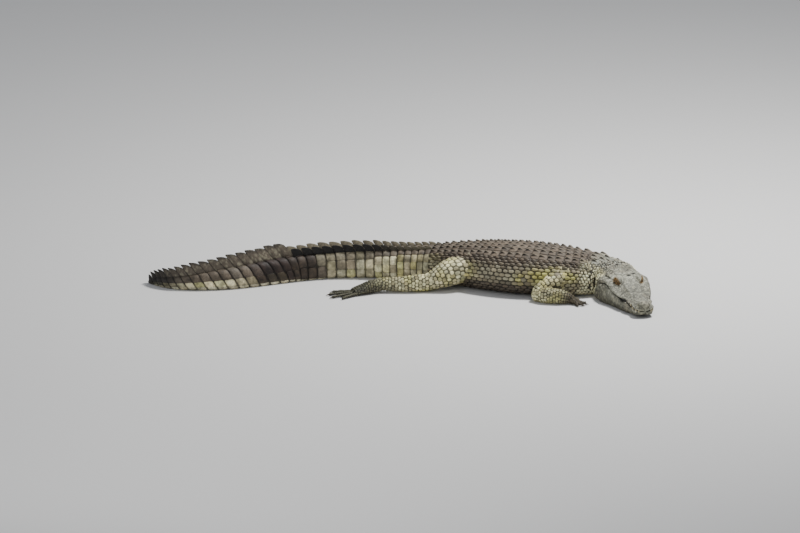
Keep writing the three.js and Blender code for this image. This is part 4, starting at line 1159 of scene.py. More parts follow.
class Coat:
    """Scales laid on sheets, gathered into one mesh."""

    def __init__(self, name, seed, sides=16, levels=RING_LEVELS):
        self.name, self.sides, self.levels = name, sides, levels
        self.random = np.random.default_rng(seed)
        self.batches = []

    def template(self, square):
        """Radius, level and unit outline of one scale's points; its last two are the centres."""
        fine = np.linspace(0, 2 * np.pi, OUTLINE_STEPS)
        power = 2 / square
        outline = np.stack([np.sign(np.cos(fine)) * np.abs(np.cos(fine)) ** power,
                            np.sign(np.sin(fine)) * np.abs(np.sin(fine)) ** power], axis=1)
        length = np.append(0, np.cumsum(np.linalg.norm(np.diff(outline, axis=0), axis=1)))
        even = length[-1] * np.arange(self.sides) / self.sides
        outline = np.stack([np.interp(even, length, outline[:, axis]) for axis in (0, 1)], axis=1)
        angle = np.interp(even, length, fine)
        rings = len(self.levels)
        radius = np.append(np.repeat([r for r, _ in self.levels], self.sides), [0, 0])
        level = np.append(np.repeat([h for _, h in self.levels], self.sides), [-1, 1])
        spread_outline = np.vstack([np.tile(outline, (rings, 1)), [[0, 0], [0, 0]]])
        return radius, level, spread_outline, np.append(np.tile(angle, rings), [0, 0])

    def faces(self, count):
        rings = len(self.levels)
        quads, fans = grid_faces(rings, self.sides)
        size = rings * self.sides + 2
        shift = np.arange(count)[:, None, None] * size
        return (quads + shift).reshape(-1, 4), (fans + shift).reshape(-1, 3)

    def chance(self, places, low=-1, high=1):
        """An even random number for each place."""
        return self.random.uniform(low, high, len(places))

    def lay(self, sheet, island, u, arc, long, wide, height, colour, *, square=3.0, keel=0.0, keel_width=0.4,
            tilt=0.15, dome=0.2, rim=0.5, lean=0.0, jitter=0.05, tone=0.12, mottle=FINE_MOTTLE, seat=None):
        """
        Lays one scale at each (u, arc): u along the sheet, arc round it in millimetres. Long is
        along u and wide round it. Lean shifts a scale's points along u for each millimetre of
        arc. Dome is how far the ends fall, and rim how much painted shade darkens the edges, as
        shares. Jitter is how uneven the places and outlines are, and tone the colours. Seat is a
        surface to set the scales on; those that it buries or has no room for are left out.
        """
        u, arc, long, wide, height, keel = (np.broadcast_to(np.asarray(value, float), u.shape).copy()
                                            for value in (u, arc, long, wide, height, keel))
        u += long * jitter * self.chance(u)
        arc += wide * jitter * self.chance(u)
        long *= 1 + jitter * self.chance(u)
        wide *= 1 + jitter * self.chance(u)
        waves = [(lumps, 0.5 * jitter * self.chance(u, 0, 1), self.chance(u, 0, 2 * np.pi))
                 for lumps in OUTLINE_WAVES]
        shade = 1 + tone * self.chance(u)
        warmth = 0.04 * self.chance(u)
        radius, level, outline, turn = self.template(square)
        bulge = 1 + sum(size[:, None] * np.cos(lumps * turn + phase[:, None]) for lumps, size, phase in waves)
        along, aside = (radius * outline[:, axis] * bulge for axis in (0, 1))
        around = sheet.round(u)
        v = arc / around
        arc_at = arc[:, None] + aside * wide[:, None] / 2
        u_at = u[:, None] + along * long[:, None] / 2 + lean * (arc_at - arc[:, None])
        points, normals = sheet.sample(u_at, arc_at / around[:, None])
        ridge = np.clip(1 - np.abs(aside) / keel_width, 0, 1)
        ramp = smooth(1.0, -0.5, along) * (1 - 0.9 * smooth(-0.66, -0.9, along))
        rise = height[:, None] * (1 - tilt * along) * (1 - dome * along**2 - 0.1 * aside**2)
        rise = rise + keel[:, None] * ridge * ramp
        lift = np.where(level < 0, -ROOT_DEPTH, np.clip(level, 0, 1) * rise)
        keep, shift = self.seat_on(seat, sheet, u, v, points, normals, (long + wide) / 4)
        points = points + normals * (lift + shift)[..., None]
        centre, _ = sheet.sample(u, v)
        warm = np.stack([1 + warmth, 1 + 0 * warmth, 1 - warmth], axis=1)
        base = colour(u, v, centre) * shade[:, None] * warm
        # painted shade darkens each scale's edge, by rim
        edge = 1 - rim * smooth(0.78, 1.0, mix(radius, np.abs(along), min(1, 2 * dome)))
        strength, size = mottle
        mottled = 1 + strength * (noise(points, size, 61) - 0.5) * 2
        colours = paint_keels(base[:, None] * (edge * mottled)[..., None], keel, ridge, along)
        # the scales' roots lie low, so the material paints shade on them
        relief = np.broadcast_to(np.clip(level, 0, 1), u_at.shape)
        patch = island(u, v)[:, None] + PATCH * np.stack([along, aside], axis=-1) * PATCH_FILL
        self.batches.append([part[keep] for part in (points, colours, relief, patch)])

    @staticmethod
    def seat_on(seat, sheet, u, v, points, normals, reach):
        """Which scales lie open on the seat, and how far each of their points shifts to sit on it."""
        shift = np.zeros(points.shape[:2])
        if seat is None:
            return np.ones(len(u), bool), shift
        centres, facings = sheet.sample(u, v)
        offs, cosines = np.array([seat.drop_on(*pair) for pair in zip(centres, facings)]).T
        seated = centres + facings * offs[:, None]
        keep = (cosines > SEAT_FACING) & (np.abs(offs) < SEAT_LIMIT) & seat.is_free(seated, reach)
        seat.take(seated[keep], reach[keep])
        for i in np.flatnonzero(keep):
            if abs(offs[i]) < SEAT_FLUSH:
                shift[i] = offs[i]
            else:
                dropped = [seat.drop_on(*pair)[0] for pair in zip(points[i], normals[i])]
                shift[i] = np.clip(dropped, offs[i] - SEAT_BEND, offs[i] + SEAT_BEND)
        return keep, shift

    def finish(self, material):
        """Makes the coat's one mesh, kept just above the floor."""
        points, colours, relief, patch = (np.concatenate(parts) for parts in zip(*self.batches))
        points[..., 2] = np.maximum(points[..., 2], COAT_CLEARANCE)
        mesh = mesh_from_arrays(self.name, points.reshape(-1, 3), self.faces(len(points)),
                                colours.reshape(-1, 3), relief.ravel(), patch.reshape(-1, 2))
        dress(new_object(self.name, mesh), material)


COAT_CLEARANCE = 0.2
SEAT_REACH = 40  # how far out the search for the skin starts
SEAT_LIMIT = 12  # how far a scale's middle may lie from the skin
SEAT_FACING = 0.72  # the least cosine between a scale and the skin that it sits on
SEAT_FLUSH = 0.4  # up to this far off, a scale moves as one
SEAT_BEND = 5  # how far a scale's points may follow the skin away from its middle
SEAT_OVERLAP = 0.62  # how near two scales' middles may come, as a share of their half sizes' sum


class Seat:
    """The skin that the scales sit on, and the places on it that are taken."""

    def __init__(self, skin):
        self.tree = BVHTree.FromObject(skin, bpy.context.evaluated_depsgraph_get())
        self.centres, self.reaches = np.zeros((0, 3)), np.zeros(0)
        self.new = []

    def drop_on(self, point, normal):
        """How far out along the normal the skin lies from a point, and how squarely it faces it."""
        start = Vector((point + normal * SEAT_REACH) * MM)
        hit, face, _, distance = self.tree.ray_cast(start, Vector(-normal), SEAT_REACH * 1.6 * MM)
        if hit is None:
            return -SEAT_REACH, 0
        return SEAT_REACH - distance / MM, face.dot(Vector(normal))

    def is_free(self, centres, reach):
        """Whether each new scale stays clear of those that are settled."""
        gaps = np.linalg.norm(centres[:, None] - self.centres[None], axis=2)
        return np.all(gaps > SEAT_OVERLAP * (reach[:, None] + self.reaches[None]), axis=1)

    def take(self, centres, reach):
        self.new.append((centres, reach))

    def settle(self):
        """Keeps the next coat clear of the scales laid so far, which may overlap among themselves."""
        centres, reaches = zip(*self.new)
        self.centres = np.vstack([self.centres, *centres])
        self.reaches = np.concatenate([self.reaches, *reaches])
        self.new = []


def body_island(u, v):
    """The body's unwrap: stations run along it, and the way round the body runs up it."""
    return np.stack([0.01 + 0.98 * u / SNOUT_TIP, 0.36 + 0.62 * np.mod(v + 0.5, 1)], axis=-1)


def limb_island(number):
    """One of twelve small islands in the bottom strip of the map."""
    def island(u, v):
        return np.stack([0.01 + 0.08 * number + 0.07 * np.clip(u / 400, 0, 1) + 0 * v,
                         0.02 + 0.3 * np.mod(v, 1)], axis=-1)
    return island


def body_colour(u, v, points):
    return body_marking(u, 1 - np.abs(1 - 2 * np.mod(v, 1)), points)


def both_sides(station, arc):
    """Rows for the left side and again for the right."""
    return np.concatenate([station, station]), np.concatenate([arc, -arc])


def whorls():
    return walk(FIRST_WHORL, VENT, WHORL_PITCH)[:-1]


BACK_SHARE = 0.67


def back_edge(sheet, station):
    """The arc from the back's middle to the edge of the keeled scutes."""
    return arc_at(sheet, station, girth_at_share(station, BACK_SHARE))


def arc_at(sheet, station, girth):
    """Arc in millimetres from the back's middle to a girth."""
    station, girth = np.broadcast_arrays(np.asarray(station, float), girth)
    half = np.abs(skin_girths()[:HALF_COLUMNS + 1])
    index = np.clip(np.searchsorted(sheet.u, station), 0, len(sheet.u) - 1)
    return np.array([np.interp(g, half, sheet.girths[i, :HALF_COLUMNS + 1]) for i, g in zip(index, girth)])


def trunk_rows(start, end, pitch):
    return np.linspace(start, end, max(1, round((end - start) / pitch)) + 1)


BACK_KEELS = [7, 10, 9]  # the keel's height in each column of scutes, from the back's middle out


def back_scutes(sheet, seat, material):
    """Rows of square keeled scutes over the back."""
    coat = Coat("back_scutes", 101, sides=40, levels=KEELED_LEVELS)
    rows = trunk_rows(VENT, NECK_START, SCUTE_ROW)
    station = (rows[:-1] + rows[1:]) / 2
    edge = back_edge(sheet, station)
    for column, keel in enumerate(BACK_KEELS):
        pitch = edge / len(BACK_KEELS)
        coat.lay(sheet, body_island, *both_sides(station, pitch * (column + 0.5)), SCUTE_ROW * 1.02,
                 np.tile(pitch * 0.98, 2), 3.2, body_colour, square=4, keel=keel, keel_width=0.32, tilt=0.25,
                 rim=0.1, jitter=0.08, tone=0.24, seat=seat)
    coat.finish(material)


FLANK_PITCH, FLANK_ROWS, KEELED_FLANK_ROWS = 23.5, 13, 3
BELLY_PITCH, BELLY_COLUMNS = 27, 10
BELLY_GIRTH = 0.80  # where the flank's scales end and the belly's start


def flank_scales(sheet, seat, material):
    """Lengthwise rows of rounded scales between the back and the belly."""
    coat = Coat("flank_scales", 102)
    for row in range(FLANK_ROWS):
        station = trunk_rows(VENT + 6, NECK_START + 30, FLANK_PITCH) + row % 2 * FLANK_PITCH / 2
        top = back_edge(sheet, station)
        pitch = (arc_at(sheet, station, BELLY_GIRTH) - top) / FLANK_ROWS
        keel = 4.5 if row < KEELED_FLANK_ROWS else 0.8
        coat.lay(sheet, body_island, *both_sides(station, top + pitch * (row + 0.5)), FLANK_PITCH * 0.92,
                 np.tile(pitch * 0.9, 2), 4.2, body_colour, square=2.6, keel=keel, tilt=0.25, jitter=0.12,
                 tone=0.28, seat=seat)
    coat.finish(material)


def belly_scales(sheet, seat, material):
    """Even rows of smooth, square scales under the body."""
    coat = Coat("belly_scales", 103, sides=12, levels=FLAT_LEVELS)
    station = trunk_rows(VENT + 6, SKULL_BACK - 14, BELLY_PITCH)
    start = arc_at(sheet, station, BELLY_GIRTH)
    pitch = (sheet.round(station) / 2 - start) / BELLY_COLUMNS
    for column in range(BELLY_COLUMNS):
        coat.lay(sheet, body_island, *both_sides(station, start + pitch * (column + 0.5)), BELLY_PITCH - 1.5,
                 np.tile(pitch * 0.93, 2), 3.4, body_colour, square=5, tilt=0.05, jitter=0.03, seat=seat)
    coat.finish(material)


# How far a ring of the tail's scales leans: the shift forward for each millimetre down its side.
WHORL_LEAN = profile([[0, 0.55], [540, 0.55], [700, 0.12], [900, 0.04], [1245, 0.0]])
SINGLE_EDGES = [0, 0.5, 0.79, 1]
CREST_STRIP = 0.13  # share of the half girth between the twin crests
SIDE_END = 0.8
MORE_ROWS = [790, 1010, 1110]  # stations from which a ring has one more scale down its side


def tail_edges(station):
    """Shares of the half girth that part the scales of one ring of the tail."""
    if station < SINGLE_CREST_END:
        return SINGLE_EDGES
    rows = 2 + int(np.searchsorted(MORE_ROWS, station, side="right"))
    return [0, *np.linspace(CREST_STRIP, SIDE_END, rows + 1), 0.9, 1]


def tail_scales(sheet, material):
    """Rings of rectangular scales round the tail, parted by deep grooves."""
    coat = Coat("tail_scales", 104, sides=20)
    for station in whorls():
        pitch = float(WHORL_PITCH(station))
        lean = float(WHORL_LEAN(station))
        half = float(sheet.round(station)) / 2
        fan = float(WHORL_LEAN(station + pitch / 2) - WHORL_LEAN(station - pitch / 2))
        thick = 3 if station < 300 else 5
        edges = tail_edges(station)
        for start, end in zip(edges, edges[1:]):
            arc = half * (start + end) / 2
            long = (pitch + fan * arc) * 0.95
            for side in SIDES.values():
                coat.lay(sheet, body_island, np.array([station + lean * arc]), np.array([side * arc]), long,
                         half * (end - start) * 1.03, thick, body_colour, square=8, tilt=0.2, dome=0.5,
                         lean=lean * side, jitter=0.02, tone=0.22, mottle=TAIL_MOTTLE)
    coat.finish(material)


# The nape's shields: length, width, height and keel of a kind, and the stations and arcs of its shields.
SHIELDS = [
    (44, 31, 5, 10, [(1932, 17), (1972, 18), (1947, 55), (1942, 104)]),
    (22, 18, 3.5, 6, [(2028, 14), (2034, 38), (1996, 50)]),
]


def nape_shields(sheet, seat, material):
    """The big keeled shields on the nape, and the small ones behind the skull."""
    coat = Coat("nape_shields", 105, sides=36, levels=KEELED_LEVELS)
    for long, wide, height, keel, places in SHIELDS:
        station, arc = np.array(places, float).T
        coat.lay(sheet, body_island, *both_sides(station, arc), long, wide, height, body_colour,
                 square=2.6, keel=keel, keel_width=0.34, tilt=0.3, rim=0.3, jitter=0.05, seat=seat)
    coat.finish(material)


NECK_PITCH = profile([[1900, 15], [2000, 14], [2040, 10], [2065, 7], [2080, 5]])


def neck_scales(sheet, seat, material):
    """Small rounded scales all over the neck, clear of the shields."""
    coat = Coat("neck_scales", 106, sides=14)
    for row, station in enumerate(walk(NECK_START + 8, SKULL_BACK + 14, NECK_PITCH)):
        pitch = float(NECK_PITCH(station))
        arcs = np.arange(0, float(sheet.round(station)) / 2 * 0.72, pitch) + row % 2 * pitch / 2
        clear = np.ones(len(arcs), bool)
        for long, wide, _, _, places in SHIELDS:
            for s, a in places:
                clear &= ((station - s) / (long / 2 + 2)) ** 2 + ((arcs - a) / (wide / 2 + 2)) ** 2 > 1
        if station < NECK_START + 30:
            clear &= arcs < back_edge(sheet, np.array([station]))
        if station > SKULL_BACK + CHEEK_EDGE - 5:
            clear &= arcs < arc_at(sheet, np.array([station]), 0.36)
        arcs = arcs[clear]
        stations, both = both_sides(station + 0 * arcs, arcs)
        coat.lay(sheet, body_island, stations, both, pitch * 0.92, pitch * 0.9, 0.26 * pitch, body_colour,
                 square=2.4, keel=np.where(np.abs(both) < 90, 2.0, 0.8), tilt=0.2, jitter=0.16, tone=0.3,
                 seat=seat)
    coat.finish(material)


# Pitches of a limb's scales by their share of each length, where below 0 is the rounded root.
# They shrink towards the hand or foot.
LIMB_SCALE_PITCH = {
    ("fore", "upper"): ([-1, 1], [23, 15]),
    ("fore", "lower"): ([0, 0.5, 0.85, 1], [12, 11, 9, 8]),
    ("hind", "upper"): ([-1, 1], [24, 16]),
    ("hind", "lower"): ([0, 0.4, 0.75, 1], [15, 14, 11, 10]),
}
DIGIT_TURNS = (0.13, 0.25, 0.37)  # where a digit's three rows of scales run, as shares of a turn


def limb_colour(limb, part):
    """The colour of the scales on one length of a limb, or on its digits."""
    def colour(u, v, points):
        return limb_marking(limb.kind, limb.reach(part, u), points)
    return colour


def limb_scales(limb, seat, material, number):
    """Scales over one limb: large on the upper and lower lengths, small on the hand or foot."""
    coat = Coat(f"{limb.kind}limb_scales_{limb.where}", 110 + number, sides=14)
    for place_number, (part, (along, rings)) in enumerate(limb.lengths.items()):
        sheet = Sheet(along, rings)
        station, row = along[0] + 4, 0
        while station < along[-1] - 3:
            size = float(np.interp(station / along[-1], *LIMB_SCALE_PITCH[limb.kind, part]))
            around = float(sheet.round(station))
            count = max(5, round(around / size))
            arc = (np.arange(count) + row % 2 * 0.5) * around / count
            coat.lay(sheet, limb_island(number * 3 + place_number), np.full(count, station), arc, size * 0.9,
                     around / count * 0.88, LIMB_COAT_DEPTH, limb_colour(limb, part), square=2.7, tilt=0.3,
                     rim=0.6, jitter=0.12, tone=0.36, seat=seat)
            station += size * 0.96
            row += 1
        seat.settle()
    size = limb.shape["digit_radius"] * 1.05
    for along, rings in limb.digits:
        sheet = Sheet(along, rings)
        station = np.arange(along[0] + 5, along[-1] - 4, size)
        around = sheet.round(station)
        for turn in DIGIT_TURNS:
            coat.lay(sheet, limb_island(number * 3 + 2), station, turn * around, size * 0.9, around * 0.115,
                     1.5, limb_colour(limb, "digit"), square=3.2, tilt=0.2, jitter=0.06, seat=seat)
    coat.finish(material)


# ------------------------------------------------------------------ the tail's crest

# A crest plate's reach to the front and rear, as shares of a whorl, at shares of its height.
LEAVES = {
    "single": {"front": profile([[0, 0.58], [0.75, 0.56], [0.9, 0.44], [0.97, 0.26], [1, 0.08]]),
               "rear": profile([[0, 0.56], [0.85, 0.56], [0.95, 0.52], [1, 0.42]])},
    "twin": {"front": profile([[0, 0.52], [0.5, 0.5], [0.8, 0.34], [0.93, 0.12], [1, -0.08]]),
             "rear": profile([[0, 0.5], [0.5, 0.54], [0.85, 0.5], [0.95, 0.42], [1, 0.3]])},
}
PLATE_LEVELS = np.array([0, 0.12, 0.28, 0.45, 0.6, 0.72, 0.82, 0.9, 0.96, 1])
PLATE_COLUMNS = 24
TWIN_LEAN, TWIN_SPLAY = CREST_LEAN * 0.8, 0.25  # splay is how far a plate leans out for its height


def crest_plate(station, across, height, lean, splay):
    """A broad leaf of horn that leans back: (points, faces), and where each point lies on it."""
    pitch = float(WHORL_PITCH(station))
    thick = min(CREST_THICKNESS, float(HALF_WIDTH(station))) / 2
    top = float(section(station, 0.02)[1])
    leaf = LEAVES["single" if across == 0 else "twin"]
    angle = 2 * np.pi * np.arange(PLATE_COLUMNS) / PLATE_COLUMNS
    rings = []
    for share in PLATE_LEVELS:
        rise = mix(-CREST_ROOT, height, share)
        above = max(rise, 0)
        high = above / height
        front, rear = pitch * leaf["front"](high), pitch * leaf["rear"](high)
        along = (front - rear) / 2 + np.cos(angle) * (front + rear) / 2
        wide = thick * mix(1, 0.3, high) * (1 if share < 1 else 0.5)
        aside = np.sign(np.sin(angle)) * np.abs(np.sin(angle)) ** 0.7 * wide
        rib = 0.5 * np.cos(along / pitch * 9) * np.sin(angle) * (1 - high)
        at = np.clip(station - above * math.tan(lean) + along, 0, None)
        rings.append(place(at, aside + rib + across + splay * above, top + rise))
    share = np.append(np.repeat(PLATE_LEVELS, PLATE_COLUMNS), [0, 1])
    face, end = (np.append(np.tile(wave(angle), len(PLATE_LEVELS)), [0, 0]) for wave in (np.sin, np.cos))
    return closed_grid(np.array(rings)), share, face, end


def plate_colour(station, across, share, face, end, points):
    """Brown horn, darker to its edges; the twin plates are black outside, partly dark horn and partly painted
    shade, and olive inside as painted light.
    """
    colour = tint(spread(TAIL_BROWN, share.shape), TAIL_DARK, 0.25 + 0.6 * smooth(0.7, 1, share))
    flecks = smooth(0.6, 0.75, noise(points, 8, 71)) * (1 - 0.6 * share)
    colour = tint(colour, CREAM, 0.45 * flecks)
    colour = tint(colour, TAIL_DARK * 0.5, 0.75 * smooth(0.75, 1, np.abs(end)))
    if across:
        outward = face * np.sign(across)
        # outer faces black, partly dark horn and partly painted shade; inner faces lighter olive, as painted
        # light
        colour = tint(colour, CREST_BLACK_AND_SHADE, 0.98 * smooth(-0.2, 0.5, outward))
        colour = tint(colour, FLANK_OLIVE, 0.6 * smooth(0.1, -0.5, outward))
        colour = tint(colour, FLANK_OLIVE, 0.6 * smooth(1000, 1200, station))
    return tint(colour, CREST_BLACK_AND_SHADE, 0.85 * (1 - smooth(40, 220, station)))


def crest_rows(station):
    """Across, height, lean and splay of the crest's plates on one whorl."""
    if station < SINGLE_CREST_END:
        return [(0, float(CREST_HEIGHT(station)), CREST_LEAN, 0)]
    across, height = float(TWIN_CREST_ACROSS(station)), float(TWIN_CREST_HEIGHT(station))
    return [(side * across, height, TWIN_LEAN, side * TWIN_SPLAY) for side in SIDES.values()]


def tail_crest(material):
    """The plates along the tail: one row towards its tip, two rows towards the hips."""
    random = np.random.default_rng(120)
    parts, colours, reliefs, patches = [], [], [], []
    for station in whorls():
        for across, height, lean, splay in crest_rows(station):
            height *= 1 + 0.05 * random.uniform(-1, 1)
            plate, share, face, end = crest_plate(station, across, height, lean, splay)
            points = plate[0]
            parts.append(plate)
            colour = plate_colour(station, across, share, face, end, points)
            colours.append(colour * (1 + 0.1 * random.uniform(-1, 1)))
            # the plates' roots lie low, so the material paints shade on them
            reliefs.append(smooth(0, 0.3, share))
            root = body_island(np.array([station]), np.array([across / 200]))[0]
            local = (points - points.mean(axis=0)) / np.ptp(points, axis=0).max()
            patches.append(root + 2 * PATCH * 0.9 * local[:, [0, 2]])
    points, faces = gather(parts)
    mesh = mesh_from_arrays("tail_crest", points, faces, np.vstack(colours), np.concatenate(reliefs),
                            np.vstack(patches))
    dress(new_object("tail_crest", mesh), material)


# ------------------------------------------------------------------ eyes, teeth and claws

EYE_ROWS, EYE_COLUMNS = 84, 132
IRIS_OUTER, IRIS_INNER, IRIS_RIM = linear(164, 124, 50), linear(104, 72, 26), linear(48, 34, 18)
PUPIL_DARK = 0.004
PUPIL = (0.10, 0.62)  # half width and half height of the slit, as shares of the eye's radius


def eye_colour(polar, turn):
    """A streaked amber iris round an upright slit, darker to its rim."""
    across, upward = np.sin(polar) * np.cos(turn), np.sin(polar) * np.sin(turn)
    around = [np.cos(turn) * 9 + 0 * polar, np.sin(turn) * 9 + 0 * polar, 2 * polar + 0 * turn]
    colour = tint(spread(IRIS_OUTER, across.shape), IRIS_INNER, noise(np.stack(around, axis=-1), 1, 81))
    colour = tint(colour, IRIS_RIM, smooth(0.6, 0.85, polar + 0 * turn))
    slit = np.hypot(across / PUPIL[0], upward / PUPIL[1]) < 1
    return np.where(slit[..., None], PUPIL_DARK, colour)


def make_eye(where, material):
    """An eyeball, a little drawn out in front, with the pole of its grid in the pupil."""
    side = SIDES[where]
    polar = np.linspace(0.02, np.pi - 0.02, EYE_ROWS)[:, None]
    turn = 2 * np.pi * np.arange(EYE_COLUMNS) / EYE_COLUMNS
    gaze, line, above = (axis * [1, side, 1] for axis in (GAZE, LID_LINE, LID_UP))
    ring = np.cos(turn)[:, None] * line + np.sin(turn)[:, None] * above
    ball = np.cos(polar)[..., None] * gaze + np.sin(polar)[..., None] * ring
    local = ball * EYE_RADIUS * (1 + 0.05 * smooth(0.75, 0.2, polar))[..., None]
    points = place_on_head(EYE[0] + local[..., 0], side * EYE[1] + local[..., 1], EYE[2] + local[..., 2])
    flat, faces = closed_grid(points)
    colour = eye_colour(polar, turn).reshape(-1, 3)
    colour = np.vstack([colour, np.full((1, 3), PUPIL_DARK), colour[-1:]])
    mesh = mesh_from_arrays(f"eyeball_{where}", flat, faces, colour, np.ones(len(flat)))
    dress(new_object(f"eyeball_{where}", mesh), material, [f"eye_{where}"])


CONE_CLEARANCE = 0.3


def cone(base, tip, bend, radii, columns, rings):
    """A curved cone kept off the floor: (points, faces), and each point's share of its length."""
    share = np.linspace(0, 1, rings)
    centres = mix(base, tip, share[:, None]) + bend * (4 * share * (1 - share))[:, None]
    direction = np.gradient(centres, axis=0)
    direction /= np.linalg.norm(direction, axis=1, keepdims=True)
    side = np.cross(direction, [0.3, 0.1, 1.0])
    side /= np.linalg.norm(side, axis=1, keepdims=True)
    other = np.cross(direction, side)
    angle = 2 * np.pi * np.arange(columns) / columns
    size = mix(*radii, share) * np.sqrt(np.clip(1 - (share * 0.995) ** 6, 0.02, 1))
    ring = side[:, None] * np.cos(angle)[:, None] + other[:, None] * np.sin(angle)[:, None]
    points = centres[:, None] + ring * size[:, None, None]
    points[..., 2] = np.maximum(points[..., 2], CONE_CLEARANCE)
    return closed_grid(points), np.append(np.repeat(share, columns), [0, 1])


HORN_DARK, HORN_PALE = linear(74, 66, 54), linear(128, 116, 92)
CLAW_BEND, CLAW_OVERLAP = np.array([0, 0, 1.8]), 2.0
CLAW_RADIUS, CLAW_TIP_RADIUS = 0.5, 0.6  # the first as a share of the digit's radius
TOOTH_ROOT, TOOTH_TIP = linear(170, 158, 122), linear(226, 222, 204)
TOOTH_RADII, TOOTH_DEPTH, TOOTH_REACH = (3.3, 0.7), 5, 9


def make_claws(limb, material):
    """A curved claw on each of the first three digits."""
    for index in range(CLAWED_DIGITS):
        line = digit_line(limb.shape, index)
        root, tip = (place_on_girdle(limb.girdle, limb.side, *point) for point in line)
        forward = unit((tip - root) * [1, 1, 0])
        end = tip + forward * limb.shape["claw"]
        end[2] = CLAW_TIP_UP
        radii = (limb.shape["digit_radius"] * CLAW_RADIUS, CLAW_TIP_RADIUS)
        (points, faces), share = cone(tip - forward * CLAW_OVERLAP, end, CLAW_BEND, radii, 16, 12)
        colour = tint(spread(HORN_DARK, share.shape), HORN_PALE, smooth(0.6, 1, share))
        name = f"{LIMBS[limb.kind]['claw']}_{limb.where}_{index + 1}"
        mesh = mesh_from_arrays(f"{name}_horn", points, faces, colour, np.ones(len(points)))
        dress(new_object(f"{name}_horn", mesh), material, [name])


def make_teeth(material):
    """The few teeth that show along the closed lips: the upper ones point down, the lower ones up."""
    parts, shares = [], []
    for stations, direction in ((UPPER_TEETH, -1), (LOWER_TEETH, 1)):
        for x in stations:
            edge = float(SIDE(x)) * LIP_SHARE + 0.6 if direction < 0 else float(JAW(x)) - 1.5
            for side in SIDES.values():
                base = place_on_head(x, side * edge, float(LIP(x)) - direction * TOOTH_DEPTH)
                tip = place_on_head(x, side * (edge + 0.5), float(LIP(x)) + direction * TOOTH_REACH)
                part, share = cone(base, tip, np.zeros(3), TOOTH_RADII, 14, 10)
                parts.append(part)
                shares.append(share)
    points, faces = gather(parts)
    share = np.concatenate(shares)
    colour = tint(spread(TOOTH_ROOT, share.shape), TOOTH_TIP, smooth(0.35, 0.7, share))
    mesh = mesh_from_arrays("teeth", points, faces, colour, np.ones(len(share)))
    dress(new_object("teeth", mesh), material)


# ------------------------------------------------------------------ materials

MOTTLE_SPAN, FINE_SPAN = (0.3, 0.7), (0.35, 0.65)  # the part of each noise's range that is used
MOTTLE_GRAIN, FINE_SHARE = 0.25, 0.6
UNEVEN = 0.12  # how far the roughness goes up and down with the mottle
CRACK_GRAIN, CRACK_WIDTH, CRACK_HEIGHT = 0.8, 0.12, 0.4
BUMP_DEPTH = 0.0012
# crease is how far painted shade darkens the creases
SCALED, SHINING = {"crease": 0.75, "specular": 0.35}, {"crease": 0, "specular": 0.5}


def surface_material(name, roughness, grain, bump, variation, crease, specular):
    """Marked skin or horn: its colour from the mesh, mottled, and darkened in the creases by painted shade."""
    material = bpy.data.materials.new(name)
    material.use_nodes = True
    nodes, links = material.node_tree.nodes, material.node_tree.links
    shader = nodes["Principled BSDF"]
    shader.inputs["Specular IOR Level"].default_value = specular
    place_node = nodes.new("ShaderNodeTexCoord")

    def mesh_value(attribute):
        node = nodes.new("ShaderNodeAttribute")
        node.attribute_name = attribute
        return node

    def texture(kind, scale):
        node = nodes.new(kind)
        node.inputs["Scale"].default_value = scale
        links.new(place_node.outputs["Object"], node.inputs["Vector"])
        return node

    def map_range(source, *limits):
        node = nodes.new("ShaderNodeMapRange")
        for socket, value in zip(node.inputs[1:5], limits):
            socket.default_value = value
        links.new(source, node.inputs[0])
        return node.outputs[0]

    def scaled(colour, factor):
        node = nodes.new("ShaderNodeVectorMath")
        node.operation = "SCALE"
        links.new(colour, node.inputs[0])
        links.new(factor, node.inputs["Scale"])
        return node.outputs[0]

    mottle = texture("ShaderNodeTexNoise", grain * MOTTLE_GRAIN)
    mottle.inputs["Detail"].default_value = 4
    fine = texture("ShaderNodeTexNoise", grain)
    fine.inputs["Detail"].default_value = 6
    marking, relief = mesh_value("marking"), mesh_value("relief")
    even = variation * FINE_SHARE
    broad = map_range(mottle.outputs["Fac"], *MOTTLE_SPAN, 1 - variation, 1 + variation)
    colour = scaled(marking.outputs["Color"], broad)
    colour = scaled(colour, map_range(fine.outputs["Fac"], *FINE_SPAN, 1 - even, 1 + even))
    # painted shade: darker where the relief is low, in the creases
    colour = scaled(colour, map_range(relief.outputs["Fac"], 0, 1, 1 - crease, 1))
    links.new(colour, shader.inputs["Base Color"])
    rough = map_range(mottle.outputs["Fac"], *MOTTLE_SPAN, roughness - UNEVEN, roughness + UNEVEN)
    links.new(rough, shader.inputs["Roughness"])
    cracks = texture("ShaderNodeTexVoronoi", grain * CRACK_GRAIN)
    cracks.feature = "DISTANCE_TO_EDGE"
    height = nodes.new("ShaderNodeMath")
    height.operation = "MULTIPLY_ADD"
    links.new(map_range(cracks.outputs["Distance"], 0, CRACK_WIDTH, 0, 1), height.inputs[0])
    height.inputs[1].default_value = CRACK_HEIGHT
    links.new(fine.outputs["Fac"], height.inputs[2])
    surface = nodes.new("ShaderNodeBump")
    surface.inputs["Strength"].default_value = bump
    surface.inputs["Distance"].default_value = BUMP_DEPTH
    links.new(height.outputs[0], surface.inputs["Height"])
    links.new(surface.outputs["Normal"], shader.inputs["Normal"])
    return material


def hide_material():
    return surface_material("hide_scales", 0.68, grain=420, bump=0.4, variation=0.26, crease=0.75,
                            specular=0.32)


def skin_material():
    return surface_material("skin", 0.66, grain=380, bump=0.45, variation=0.24, crease=0.6, specular=0.35)


def crest_material():
    return surface_material("crest_horn", 0.6, grain=380, bump=0.4, variation=0.26, crease=0.5, specular=0.35)


def tail_material():
    return surface_material("tail_scales", 0.64, grain=400, bump=0.4, variation=0.28, **SCALED)


def limb_material():
    return surface_material("limb_scales", 0.66, grain=520, bump=0.4, variation=0.24, **SCALED)


